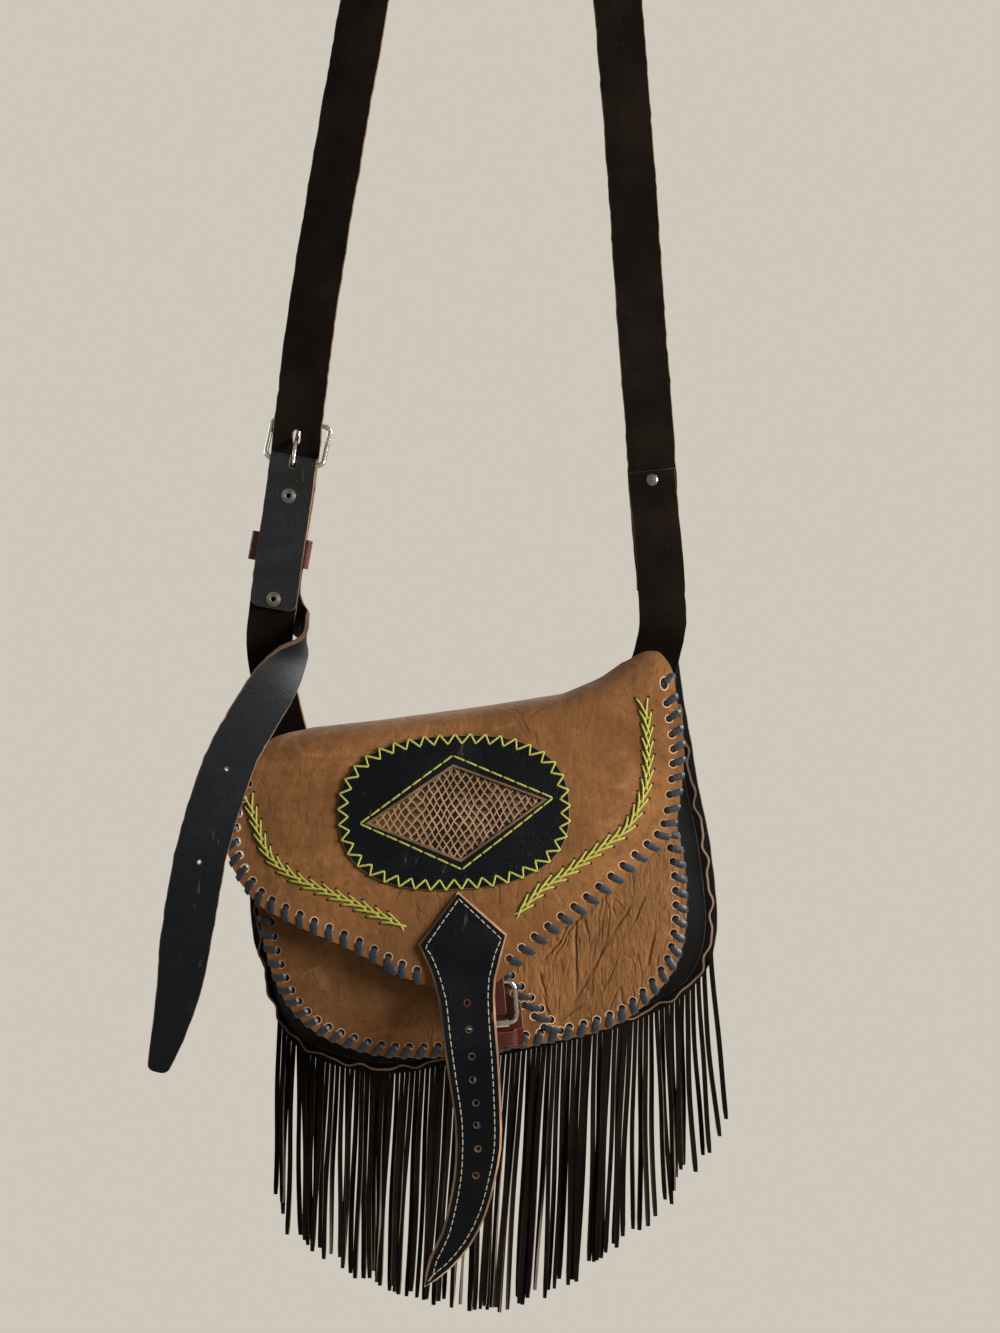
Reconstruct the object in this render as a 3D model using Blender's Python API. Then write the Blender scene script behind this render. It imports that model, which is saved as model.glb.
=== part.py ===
"""Fringed suede shoulder bag, hanging by its strap.

Lengths are in millimetres in the bag's own frame: +X to the right as the front is seen,
+Y to the back, +Z up, with zero at the middle of the flap's fold. The finished solids
are moved so that the strap's inner apex is the world origin, and scaled to metres.
"""
import math
import random

import bpy
import bmesh
from mathutils import Matrix, Vector
from mathutils.geometry import delaunay_2d_cdt

MM = 0.001
FIT = 0.3

# Leather thicknesses
SUEDE = 1.8
LINING = 1.0
PATCH = 1.4
INLAY = 0.8
GUSSET = 1.6
BACK = 2.0
STRAP = 2.8
TAB = 2.6
KEEPER = 1.2
BASE = 1.4
FRINGE = 1.6

# Bag body
BACK_FACE_Y = 25.0
FRONT_TOP_Y = -20.0
FRONT_LEAN = 12.0
LEAN_DROP = 150.0
FRONT_BULGE = 7.0
BULGE_CENTRE = (8.0, -115.0)
BULGE_HALF = (135.0, 105.0)
MOUTH_DROP = 10.0
FRONT_SEAM = 8.0
REAR_SEAM = 5.0
SEAM_GAP = 0.5
LACE_ROOM = 1.4
FLAP_STAND = 4.0
TIP_LIFT = 8.0
TIP_LIFT_FROM = -75.0
TIP_LIFT_TO = -160.0

# The fold's straight hinge line at the top of the back, and the fold's height over it
HINGE_Y = 24.0
HINGE_Z = -11.0
HINGE_SLOPE = 0.2336
FOLD_SPAN = 60.0
HINGE_GAP = 0.8
FOLD_TOP = [(-140, -30), (-110, -19), (-50, -9), (13, 3), (59, 13), (81, 24), (106, 44), (113, 48), (124, 46)]
FOLD_RIGHT = [(0.1, 122.5), (0.2, 119), (0.3, 112), (0.38, 103), (0.45, 94), (0.7, 91), (1.0, 91)]
FOLD_LEFT = [(1.0, -86), (0.7, -86), (0.45, -92), (0.38, -102), (0.3, -112), (0.2, -121), (0.1, -127)]

# Outlines as seen from the front, x and z
FLAP_EDGE = [
    (-130, -46), (-135.5, -72), (-132, -95), (-116, -117), (-91.5, -129), (-56, -142), (-25, -155.5),
    (8, -163.5), (30, -153.5), (54, -131.5), (82.6, -108), (108, -84), (125, -66), (129.5, -46),
    (130.8, -17), (127, 4), (124.2, 16.3),
]
FRONT_RIM = [
    (121, 5), (124, -30), (128, -58), (134, -82), (136.8, -112), (134, -137), (124.7, -154.3),
    (109.3, -171), (90, -182), (65, -189.3), (31.5, -197), (0, -202.5), (-34, -204.3), (-61, -198.8),
    (-81, -189.3), (-96, -173.7), (-106.5, -151.4), (-114, -122), (-118, -90), (-119, -52),
]
REAR_RIM = [
    (130, 10), (134.7, -10), (141.8, -41.8), (149, -68), (155, -100), (157.5, -125), (154, -147),
    (143, -164), (115, -181), (85, -192.7), (33, -207), (0, -214.6), (-35, -222), (-67, -218.5),
    (-90, -209), (-105, -192), (-113, -170), (-118, -148), (-122, -122), (-125, -90), (-126, -50),
]
RIM_WAVE = 1.1
RIM_WAVE_LENGTH = 23.0
BACK_MARGIN = 3.5
BACK_EAR_RIGHT = [(100.5, 36), (128, 38)]
BACK_EAR_LEFT = [(-122, -20), (-92, -22)]
PANEL_SEAM_FOOT = (68.0, -189.0)
PANEL_SEAM_RISE = 1.016

# Patch on the flap
PATCH_CENTRE = (-2.5, -59.5)
PATCH_SIZE = (135.0, 89.0)
PATCH_TILT = 6.0
PATCH_POWER = 2.5
WINDOW = [(-50.8, -68.5), (-4.6, -33.6), (48.4, -49.8), (3.0, -86.4)]
WINDOW_GAP = 1.2
LAYER_GAP = 0.6

# Closure strap
CLOSURE = 1.8
CLOSURE_EDGE = [
    (2.7, -106), (31.2, -128), (26, -153), (27, -172), (30, -194), (33.2, -224), (34.4, -246), (32, -266),
    (28, -285), (20.5, -303), (9.5, -318), (-3.4, -329), (-0.5, -313), (5.6, -298), (9.6, -275), (10.9, -256),
    (9.6, -233), (5, -210), (-0.6, -182), (-3.8, -166), (-10.6, -148), (-17.4, -136),
]
LINING_MARGIN = 1.2
CLOSURE_HOLES = [
    (11.5, -166.8), (13.4, -180.5), (15.9, -194.6), (17.2, -207.8), (19.7, -220.9), (20.9, -233.5),
    (22.3, -247.2), (22, -262.8),
]
HOLE_RADIUS = 2.0
CLOSURE_SEWN_TO = -148.0
CLOSURE_BOW = 19.0
CLOSURE_RETURN = 10.0

# Front buckle on its burgundy base
BUCKLE_TILT = math.radians(8.0)
FRONT_BUCKLE_BAR = (21.0, -157.0)
FRONT_BUCKLE_SIZE = (34.0, 24.0)
FRONT_WIRE = 1.5
FRONT_TONGUE_WIRE = 0.9
FRONT_FRAME_STAND = 1.4
BASE_STAND = 0.8
BASE_WIDTH = 40.0
BASE_FOOT = -196.0
FOLD_WIDTH = 22.0
FOLD_TAIL = 11.0
ROLLER_RADIUS = 2.7
ROLLER_LENGTH = 24.0
LOOP_DROP = 32.5
LOOP_HEIGHT = 8.0
LOOP_RISE = 7.0

# Shoulder strap
STRAP_WIDTH = 29.0
PEG_RADIUS = 50.0
STRAP_BEHIND = 4.2
LEFT_RUN = [(-83.8, 0, 421), (-94.5, 0, 330), (-104.2, 0, 240), (-108.5, 0, 180), (-109.6, 0, 166)]
RIGHT_RUN = [(67.7, 0, 430), (80, 0, 340), (91, 0, 251), (101, 0, 175), (107.5, 0, 120), (113.5, 0, 79)]
BUCKLED = [(-110.2, 2.3, 154), (-110.8, 4.1, 146), (-111.5, 4.2, 137), (-112.8, 4.2, 120), (-115.5, 4.2, 90), (-117.6, 4.2, 68)]
TAIL = [
    ((-113.5, 7.2, 55), (0.97, -0.2, 0.1)),
    ((-103.5, 7.5, 46), (0.45, -0.85, 0.25)),
    ((-98.5, -3, 35), (0, -1, 0.2)),
    ((-106, -19, 22), (-0.55, -0.72, 0.4)),
    ((-113, -36, 7), (-0.8, -0.32, 0.5)),
    ((-121, -51, -11), (-0.85, -0.2, 0.48)),
    ((-130.5, -63, -33), (-0.92, -0.2, 0.33)),
    ((-137.5, -73, -60), (-0.96, -0.2, 0.22)),
    ((-143.5, -79, -92), (-0.97, -0.2, 0.13)),
    ((-148, -79, -130), (-0.98, -0.2, 0.08)),
    ((-151.5, -76, -165), (-0.97, -0.22, 0.1)),
    ((-157, -72, -193), (-0.95, -0.22, 0.18)),
    ((-162.5, -68, -214), (-0.94, -0.22, 0.22)),
]
TAIL_TAPER = 85.0
TAIL_END_WIDTH = 12.0
TAIL_HOLES = (60.0, 115.0)

# Strap buckle: hinge bar in front of the strap, far bar behind it
STRAP_TILT = math.radians(-7.0)
STRAP_ACROSS = Vector((math.cos(STRAP_TILT), 0, math.sin(STRAP_TILT)))
TAB_WIDTH = 28.0
HINGE_BAR = (-110.6, -3.4, 142.5)
FAR_BAR = (-109.4, 4.5, 167.0)
STRAP_BUCKLE_WIDTH = 35.0
STRAP_WIRE = 1.4
TONGUE_WIRE = 1.2
TONGUE_TURNS_AT = (-3.6, 152.8)
TONGUE_SLOT = (4.4, 8.5)
TONGUE_SLOT_Z = 157.8
TAB_LONG = [
    (-112, 0, 128), (-115.2, 0, 92), (-118.2, 0, 58), (-119.5, 1.5, 32), (-115, 8, 5),
    (-108, 19.5, -22), (-105.5, 21.4, -36), (-105, 21.4, -64),
]
TAB_SHORT_FOOT_Z = 49.0
TAB_RIVETS = ((-112.4, 121.7), (-118.0, 59.5))
KEEPER_CENTRE = (-116.2, 89.5)
KEEPER_HEIGHT = 17.0
KEEPER_WIDTH = 35.0
EYELET_RADIUS = 4.5
EYELET_BORE = 1.5
EYELET_BARREL = 2.3
EYELET_FLANGE = 0.8

# Right lower strap
RIGHT_TAB = [
    (103.2, -3.1, 149), (107, -3.1, 125), (111, -3.1, 100), (113.6, -3.1, 76), (116, 4.5, 57), (114, 18.5, 38),
    (111, 21.4, 24), (109.5, 21.4, 10), (109, 21.4, -8),
]
RIVET_POINT = (104.1, 143.5)
RIVET_RADIUS = 3.6
RIVET_SHANK = 1.6

# Fringe
STRANDS = 86
FRINGE_LEFT = -104.0
FRINGE_RIGHT = 158.5
STRAND_FILL = 0.74
BAND_DEPTH = 9.0
FRINGE_TIPS = [
    (0.0, -302), (0.04, -325), (0.1, -331), (0.2, -346), (0.32, -357), (0.44, -363), (0.54, -365), (0.62, -357),
    (0.7, -344), (0.78, -328), (0.86, -305), (0.92, -280), (0.955, -269), (0.98, -264), (1.0, -238),
]
STRAND_FAN = 15.0
STRAND_DRIFT = 4.0

# Spacing of the facets on curved leather
FLAP_FILL = 14.0
FOLD_FILL = 22.0
PANEL_FILL = 22.0
FOLD_ROWS = (0.0, 0.12, 0.25, 0.38, 0.5, 0.64, 0.78, 0.9)

# Colours
CARAMEL = (0.30, 0.14, 0.05)
TAN = (0.36, 0.15, 0.055)
NAVY_BLACK = (0.010, 0.013, 0.017)
ROUGH_BLACK = (0.014, 0.010, 0.008)
BURGUNDY = (0.075, 0.014, 0.011)
RAW_EDGE = (0.25, 0.16, 0.10)
SNAKE = (0.42, 0.24, 0.13)
NICKEL = (0.60, 0.58, 0.54)
DARK_METAL = (0.06, 0.055, 0.05)


def clear_scene():
    for old in list(bpy.data.objects):
        bpy.data.objects.remove(old, do_unlink=True)


def make_material(name, colour, roughness, metallic=0.0):
    material = bpy.data.materials.new(name)
    material.use_nodes = True
    shader = material.node_tree.nodes["Principled BSDF"]
    shader.inputs["Base Color"].default_value = (*colour, 1.0)
    shader.inputs["Roughness"].default_value = roughness
    shader.inputs["Metallic"].default_value = metallic
    return material


def catmull(points, per_span, closed=False):
    """Points of a smooth curve through tuples of any length."""
    count = len(points)
    spans = count if closed else count - 1
    result = []
    for i in range(spans):
        if closed:
            quad = [points[(i + k) % count] for k in (-1, 0, 1, 2)]
        else:
            quad = [points[min(max(i + k, 0), count - 1)] for k in (-1, 0, 1, 2)]
        for step in range(per_span):
            t = step / per_span
            result.append(tuple(
                0.5 * (2 * b + (c - a) * t + (2 * a - 5 * b + 4 * c - d) * t * t + (3 * b - a - 3 * c + d) * t ** 3)
                for a, b, c, d in zip(*quad)))
    if not closed:
        result.append(tuple(float(value) for value in points[-1]))
    return result


def interpolate(table, key):
    """Smooth value from (key, value) pairs in rising order of key."""
    if key <= table[0][0]:
        return table[0][1]
    for (k0, v0), (k1, v1) in zip(table, table[1:]):
        if key <= k1:
            return v0 + (v1 - v0) * (key - k0) / (k1 - k0)
    return table[-1][1]


def smooth_step(value):
    value = min(max(value, 0.0), 1.0)
    return value * value * (3 - 2 * value)


def polyline_lengths(points):
    lengths = [0.0]
    for a, b in zip(points, points[1:]):
        lengths.append(lengths[-1] + math.dist(a, b))
    return lengths


def resample(points, count):
    """The same polyline as count + 1 points at equal distances."""
    lengths = polyline_lengths(points)
    result = []
    span = 0
    for i in range(count + 1):
        target = lengths[-1] * i / count
        while span < len(points) - 2 and lengths[span + 1] < target:
            span += 1
        share = (target - lengths[span]) / (lengths[span + 1] - lengths[span])
        result.append(tuple(a + (b - a) * share for a, b in zip(points[span], points[span + 1])))
    return result


def outward_normals(points):
    """Left-hand normals of an open outline that runs clockwise, so they point outward."""
    normals = []
    for i in range(len(points)):
        a = points[max(i - 1, 0)]
        b = points[min(i + 1, len(points) - 1)]
        length = math.dist(a, b)
        normals.append((-(b[1] - a[1]) / length, (b[0] - a[0]) / length))
    return normals


def inside(point, polygon):
    x, y = point
    result = False
    for (x0, y0), (x1, y1) in zip(polygon, polygon[1:] + polygon[:1]):
        if (y0 > y) != (y1 > y) and x < (x1 - x0) * (y - y0) / (y1 - y0) + x0:
            result = not result
    return result


def clip(polygon, point, normal):
    """The part of a polygon on the side of a line that its normal points to."""
    def height(p):
        return (p[0] - point[0]) * normal[0] + (p[1] - point[1]) * normal[1]
    result = []
    for a, b in zip(polygon, polygon[1:] + polygon[:1]):
        ha, hb = height(a), height(b)
        if ha >= 0:
            result.append(a)
        if ha * hb < 0:
            share = ha / (ha - hb)
            result.append((a[0] + (b[0] - a[0]) * share, a[1] + (b[1] - a[1]) * share))
    return result


def circle(centre, radius, sides=8):
    return [(centre[0] + radius * math.cos(2 * math.pi * i / sides),
             centre[1] + radius * math.sin(2 * math.pi * i / sides)) for i in range(sides)]


def slot(centre, width, length, step=4.0, sides=4):
    """Round-ended slot, long in its second coordinate, with points every step along its sides."""
    points = []
    run = (length - width) / 2
    count = max(round(2 * run / step), 1)
    for turn in (0, 1):
        sign = 1 - 2 * turn
        for i in range(sides + 1):
            angle = math.pi * (turn + i / sides)
            points.append((centre[0] + width / 2 * math.cos(angle), centre[1] + sign * run + width / 2 * math.sin(angle)))
        for i in range(1, count):
            points.append((centre[0] - sign * width / 2, centre[1] + sign * run * (1 - 2 * i / count)))
    return points


def row_fill(places, across, holes):
    """Points across a strap at each place, clear of its holes."""
    result = []
    for v in places[1:-1]:
        for u in across:
            near = any(math.dist((u, v), p) < 1.2 for hole in holes for p in hole)
            if not near and not any(inside((u, v), hole) for hole in holes):
                result.append((u, v))
    return result


def to_world(point):
    return Vector((point[0] - PEG[0], point[1] - PEG[1], point[2] - PEG[2])) * MM


def finish(name, bm, material, smooth=False):
    bmesh.ops.recalc_face_normals(bm, faces=bm.faces)
    mesh = bpy.data.meshes.new(name)
    bm.to_mesh(mesh)
    bm.free()
    if smooth:
        mesh.shade_smooth()
        mesh.set_sharp_from_angle(angle=math.radians(40))
    obj = bpy.data.objects.new(name, mesh)
    obj.data.materials.append(material)
    bpy.context.collection.objects.link(obj)
    return obj


def fill_points(outline, holes, spacing, top=None):
    """Staggered points inside an outline, clear of its border, up to a top line where one is given."""
    border = list(outline) + [p for hole in holes for p in hole]
    low = [min(p[k] for p in outline) for k in (0, 1)]
    high = [max(p[k] for p in outline) for k in (0, 1)]
    counts = [int((high[k] - low[k]) / spacing) for k in (0, 1)]
    result = []
    for i in range(1, counts[0] + 1):
        for j in range(1, counts[1] + 1):
            spot = (low[0] + spacing * (i - 0.5 * (j % 2)), low[1] + spacing * j)
            if top and spot[1] > top(spot[0]):
                continue
            clear = all(math.dist(spot, p) > 0.55 * spacing for p in border)
            if clear and inside(spot, outline) and not any(inside(spot, hole) for hole in holes):
                result.append(spot)
    return result


def sheet(name, outline, surface, thickness, material, holes=(), fill=()):
    """A leather piece: a flat outline with holes, laid on a curved surface and thickened."""
    points = [Vector(p) for p in outline]
    edges = [(i, (i + 1) % len(outline)) for i in range(len(outline))]
    for hole in holes:
        first = len(points)
        points += [Vector(p) for p in hole]
        edges += [(first + i, first + (i + 1) % len(hole)) for i in range(len(hole))]
    points += [Vector(p) for p in fill]
    flat, _, triangles, *_ = delaunay_2d_cdt(points, edges, [], 0, 1e-4)
    kept = []
    for triangle in triangles:
        middle = sum((flat[i] for i in triangle), Vector((0, 0))) / 3
        if inside(middle, outline) and not any(inside(middle, hole) for hole in holes):
            kept.append(triangle)
    return thicken(name, [tuple(p) for p in flat], kept, surface, thickness, material)


def surface_normal(surface, u, v, step=0.5):
    across = surface(u + step, v) - surface(u - step, v)
    along = surface(u, v + step) - surface(u, v - step)
    return across.cross(along).normalized()


def thicken(name, flat, faces, surface, thickness, material):
    bm = bmesh.new()
    used = sorted({i for face in faces for i in face})
    front, back = {}, {}
    for i in used:
        u, v = flat[i]
        point = surface(u, v)
        offset = surface_normal(surface, u, v) * thickness / 2
        front[i] = bm.verts.new(to_world(point + offset))
        back[i] = bm.verts.new(to_world(point - offset))
    border = {}
    for face in faces:
        bm.faces.new([front[i] for i in face])
        bm.faces.new([back[i] for i in reversed(face)])
        for a, b in zip(face, face[1:] + face[:1]):
            if (b, a) in border:
                del border[(b, a)]
            else:
                border[(a, b)] = True
    for a, b in border:
        bm.faces.new([front[b], front[a], back[a], back[b]])
    return finish(name, bm, material, smooth=True)


def grid_sheet(name, rows, thickness, material, closed=False):
    """A leather strip given as rows of middle points, thickened on both sides."""
    count, width = len(rows), len(rows[0])
    normals = []
    for i in range(count):
        line = []
        for j in range(width):
            before = rows[(i - 1) % count] if closed else rows[max(i - 1, 0)]
            after = rows[(i + 1) % count] if closed else rows[min(i + 1, count - 1)]
            along = after[j] - before[j]
            sides = []
            if j > 0:
                sides.append(along.cross(rows[i][j] - rows[i][j - 1]).normalized())
            if j < width - 1:
                sides.append(along.cross(rows[i][j + 1] - rows[i][j]).normalized())
            mean = sum(sides, Vector()).normalized()
            line.append(mean / max(mean.dot(sides[0]), 0.5))
        normals.append(line)
    bm = bmesh.new()
    layers = []
    for side in (0.5, -0.5):
        layers.append([[bm.verts.new(to_world(p + n * thickness * side)) for p, n in zip(row, line)]
                       for row, line in zip(rows, normals)])
    front, back = layers
    spans = count if closed else count - 1
    for i in range(spans):
        k = (i + 1) % count
        for j in range(width - 1):
            bm.faces.new((front[i][j], front[k][j], front[k][j + 1], front[i][j + 1]))
            bm.faces.new((back[i][j], back[i][j + 1], back[k][j + 1], back[k][j]))
        bm.faces.new((front[i][0], back[i][0], back[k][0], front[k][0]))
        bm.faces.new((front[i][-1], front[k][-1], back[k][-1], back[i][-1]))
    if not closed:
        for i in (0, count - 1):
            for j in range(width - 1):
                bm.faces.new((front[i][j], front[i][j + 1], back[i][j + 1], back[i][j]))
    return finish(name, bm, material, smooth=True)


def wire(name, points, radius, material, closed=False, resolution=2):
    """Round wire through smooth points."""
    curve = bpy.data.curves.new(name, "CURVE")
    curve.dimensions = "3D"
    curve.bevel_depth = radius * MM
    curve.bevel_resolution = resolution
    curve.use_fill_caps = not closed
    spline = curve.splines.new("POLY")
    spline.points.add(len(points) - 1)
    for target, point in zip(spline.points, points):
        target.co = (*to_world(point), 1.0)
    spline.use_cyclic_u = closed
    spline.use_smooth = True
    obj = bpy.data.objects.new(name, curve)
    obj.data.materials.append(material)
    bpy.context.collection.objects.link(obj)
    return obj


def turned(name, profile, centre, axis, material, sides=12):
    """A closed ring profile of (radius, height) pairs turned about an axis."""
    axis = Vector(axis).normalized()
    across = axis.cross(Vector((0.2, 0.1, 1.0))).normalized()
    other = axis.cross(across)
    bm = bmesh.new()
    rings = []
    for radius, height in profile:
        if radius == 0:
            rings.append([bm.verts.new(to_world(Vector(centre) + axis * height))] * sides)
            continue
        ring = []
        for i in range(sides):
            angle = 2 * math.pi * i / sides
            spoke = across * math.cos(angle) + other * math.sin(angle)
            ring.append(bm.verts.new(to_world(Vector(centre) + axis * height + spoke * radius)))
        rings.append(ring)
    solid = profile[0][0] == 0
    pairs = list(zip(rings, rings[1:])) if solid else list(zip(rings, rings[1:] + rings[:1]))
    for low, high in pairs:
        for i in range(sides):
            k = (i + 1) % sides
            corners = []
            for vert in (low[i], low[k], high[k], high[i]):
                if vert not in corners:
                    corners.append(vert)
            bm.faces.new(corners)
    return finish(name, bm, material, smooth=True)


def ribbon_surface(stations):
    """Surface over (across, along) of a strap given by (centre, across direction) stations."""
    rows = [tuple(centre) + tuple(direction) for centre, direction in stations]
    dense = catmull(rows, 6)
    lengths = polyline_lengths([row[:3] for row in dense])

    def surface(u, v):
        v = min(max(v, 0.0), lengths[-1])
        low, high = 0, len(dense) - 2
        while low < high:
            middle = (low + high + 1) // 2
            if lengths[middle] <= v:
                low = middle
            else:
                high = middle - 1
        share = (v - lengths[low]) / (lengths[low + 1] - lengths[low])
        row = [a + (b - a) * share for a, b in zip(dense[low], dense[low + 1])]
        return Vector(row[:3]) + Vector(row[3:]).normalized() * u
    return surface, lengths[-1]


def strap_stations(points):
    """Stations of a strap that faces the front, its across direction square to its run."""
    stations = []
    for i, point in enumerate(points):
        run = Vector(points[min(i + 1, len(points) - 1)]) - Vector(points[max(i - 1, 0)])
        across = run.cross(Vector((0, 1, 0))).normalized()
        stations.append((Vector(point), across))
    return stations


def stops(length, step, close=()):
    """Places along a strap: every step, and closer in each (start, end, step) stretch."""
    result = [0.0]
    while result[-1] < length - 0.01:
        here = result[-1]
        stride = step
        for start, end, fine in close:
            if start - 0.01 <= here < end - 0.01:
                stride = min(stride, fine, end - here)
            elif here < start:
                stride = min(stride, start - here)
        result.append(min(here + stride, length))
    return result


def strap_outline(places, width_at, round_end=0):
    """Long outline whose width follows width_at, with an optional rounded far end."""
    right = [(width_at(v) / 2, v) for v in places]
    left = [(-x, v) for x, v in reversed(right)]
    end = []
    for i in range(1, round_end):
        angle = math.pi * i / round_end
        end.append((right[-1][0] * math.cos(angle), places[-1] + 0.35 * right[-1][0] * math.sin(angle)))
    return right + end + left


def locate(surface, length, x, z, side):
    """Across and along position on a strap of the point seen from the front at x and z."""
    along = find_along(surface, length, z, side)
    return (x - surface(0, along).x) / (surface(1, along).x - surface(0, along).x), along


def hinge_height(x):
    return HINGE_Z + HINGE_SLOPE * x


def front_y(x, z):
    """Middle of the front panels: leaning forward and softly bulged."""
    lean = FRONT_LEAN * smooth_step(-z / LEAN_DROP)
    across = max(1 - ((x - BULGE_CENTRE[0]) / BULGE_HALF[0]) ** 2, 0)
    upright = max(1 - ((z - BULGE_CENTRE[1]) / BULGE_HALF[1]) ** 2, 0)
    return FRONT_TOP_Y - lean - FRONT_BULGE * across * upright


def front_surface(x, z):
    return Vector((x, front_y(x, z), z))


def flap_y(x, z):
    """Middle of the flap: clear of the front, its tip lifted by the buckle behind it."""
    lift = TIP_LIFT * smooth_step((TIP_LIFT_FROM - z) / (TIP_LIFT_FROM - TIP_LIFT_TO))
    return front_y(x, z) - FLAP_STAND - lift


def flap_surface(x, z):
    """Front of the flap in place of x and z, then over the fold to the hinge line."""
    hinge = hinge_height(x)
    if z <= hinge:
        return Vector((x, flap_y(x, z), z))
    turn = math.pi * (z - hinge) / FOLD_SPAN
    start = flap_y(x, hinge)
    rear = BACK_FACE_Y - BACK / 2
    half_depth = (rear - start) / 2
    rise = max(interpolate(FOLD_TOP, x) - hinge - SUEDE / 2, 3.0)
    return Vector((x, start + half_depth * (1 - math.cos(turn)), hinge + rise * math.sin(turn)))


def raised_flap(height):
    def surface(x, z):
        base = flap_surface(x, z)
        return Vector((base.x, base.y - height, base.z))
    return surface


def closure_surface(height):
    """Sewn to the flap above, hanging free and bowed forward below."""
    def surface(x, z):
        sewn = max(z, CLOSURE_SEWN_TO)
        free = CLOSURE_SEWN_TO - sewn + (sewn - z)
        bow = CLOSURE_BOW * smooth_step(free / 45.0) - CLOSURE_RETURN * smooth_step((free - 55.0) / 130.0)
        return Vector((x, flap_y(x, sewn) - height - bow, z))
    return surface


def wavy(points):
    """The rim with the ripples of its raw edge."""
    lengths = polyline_lengths(points)
    normals = outward_normals(points)
    result = []
    for (x, z), (nx, nz), length in zip(points, normals, lengths):
        phase = 2 * math.pi * length / RIM_WAVE_LENGTH
        lift = RIM_WAVE * (math.sin(phase) + 0.5 * math.sin(1.7 * phase + 1.0))
        result.append((x + nx * lift, z + nz * lift))
    return result


def offset_outline(points, distances):
    return [(x + nx * d, z + nz * d) for (x, z), (nx, nz), d in zip(points, outward_normals(points), distances)]


def rim_points(rim, count):
    return resample(catmull(rim, 8), count)


def build_back_panel(material):
    rim = rim_points(REAR_RIM, 44)
    margins = []
    for x, z in rim:
        side = smooth_step((z + 175.0) / 30.0)
        margins.append(BACK_MARGIN * side - 1.5 * (1 - side))
    sides = offset_outline(rim, margins)
    hinge_right = (95.0, hinge_height(95.0) - HINGE_GAP)
    hinge_left = (-88.0, hinge_height(-88.0) - HINGE_GAP)
    outline = sides + BACK_EAR_LEFT + [hinge_left, hinge_right] + BACK_EAR_RIGHT

    def surface(x, z):
        return Vector((x, BACK_FACE_Y - BACK / 2, z))
    return sheet("back_panel", outline, surface, BACK, material)


def build_gusset(material):
    count = 60
    front = rim_points(FRONT_RIM, count)
    front_inner = offset_outline(front, [-FRONT_SEAM] * len(front))
    smooth_rear = rim_points(REAR_RIM, count)
    rear = wavy(smooth_rear)
    rear_inner = offset_outline(smooth_rear, [-REAR_SEAM] * len(rear))
    rows = []
    for a, b, c, d in zip(front, front_inner, rear_inner, rear):
        flange_y = front_y(*b) + SUEDE / 2 + LACE_ROOM + GUSSET / 2
        rim_y = front_y(*a) + SUEDE / 2 + LACE_ROOM + GUSSET / 2
        in_fringe = smooth_step((-100.0 - d[1]) / 15.0)
        rear_y = BACK_FACE_Y - BACK - FIT - GUSSET / 2 - in_fringe * (FRINGE + FIT)
        rows.append([
            Vector((a[0], rim_y, a[1])),
            Vector((b[0], flange_y, b[1])),
            Vector(((b[0] + c[0]) / 2, (flange_y + rear_y) / 2, (b[1] + c[1]) / 2)),
            Vector((c[0], rear_y - 1.0, c[1])),
            Vector((d[0], rear_y, d[1])),
        ])
    return grid_sheet("gusset", rows, GUSSET, material)


def panel_parts():
    """The front's outline, cut along the diagonal seam."""
    rim = rim_points(FRONT_RIM, 56)
    right = (rim[0][0], hinge_height(rim[0][0]) - MOUTH_DROP)
    left = (rim[-1][0], hinge_height(rim[-1][0]) - MOUTH_DROP)
    outline = rim + [left, right]
    length = math.hypot(1.0, PANEL_SEAM_RISE)
    normal = (PANEL_SEAM_RISE / length, 1.0 / length)
    above = (PANEL_SEAM_FOOT[0] + normal[0] * SEAM_GAP / 2, PANEL_SEAM_FOOT[1] + normal[1] * SEAM_GAP / 2)
    below = (PANEL_SEAM_FOOT[0] - normal[0] * SEAM_GAP / 2, PANEL_SEAM_FOOT[1] - normal[1] * SEAM_GAP / 2)
    return clip(outline, above, normal), clip(outline, below, (-normal[0], -normal[1]))


def flap_outline():
    front = catmull(FLAP_EDGE, 4)
    over = [(x, hinge_height(x) + FOLD_SPAN * t) for t, x in FOLD_RIGHT]
    steps = 5
    top = []
    for i in range(1, steps):
        x = FOLD_RIGHT[-1][1] + (FOLD_LEFT[0][1] - FOLD_RIGHT[-1][1]) * i / steps
        top.append((x, hinge_height(x) + FOLD_SPAN))
    back = [(x, hinge_height(x) + FOLD_SPAN * t) for t, x in FOLD_LEFT]
    return front + over + top + back


def patch_outline():
    points = []
    turn = math.radians(PATCH_TILT)
    for i in range(32):
        angle = 2 * math.pi * i / 32
        c, s = math.cos(angle), math.sin(angle)
        x = PATCH_SIZE[0] / 2 * math.copysign(abs(c) ** (2 / PATCH_POWER), c)
        z = PATCH_SIZE[1] / 2 * math.copysign(abs(s) ** (2 / PATCH_POWER), s)
        points.append((PATCH_CENTRE[0] + x * math.cos(turn) - z * math.sin(turn),
                       PATCH_CENTRE[1] + x * math.sin(turn) + z * math.cos(turn)))
    return points


def shrink(polygon, amount):
    """A convex polygon moved inward by amount along its corners."""
    centre = (sum(p[0] for p in polygon) / len(polygon), sum(p[1] for p in polygon) / len(polygon))
    result = []
    for p in polygon:
        length = math.dist(p, centre)
        share = (length - amount) / length
        result.append((centre[0] + (p[0] - centre[0]) * share, centre[1] + (p[1] - centre[1]) * share))
    return result


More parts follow.
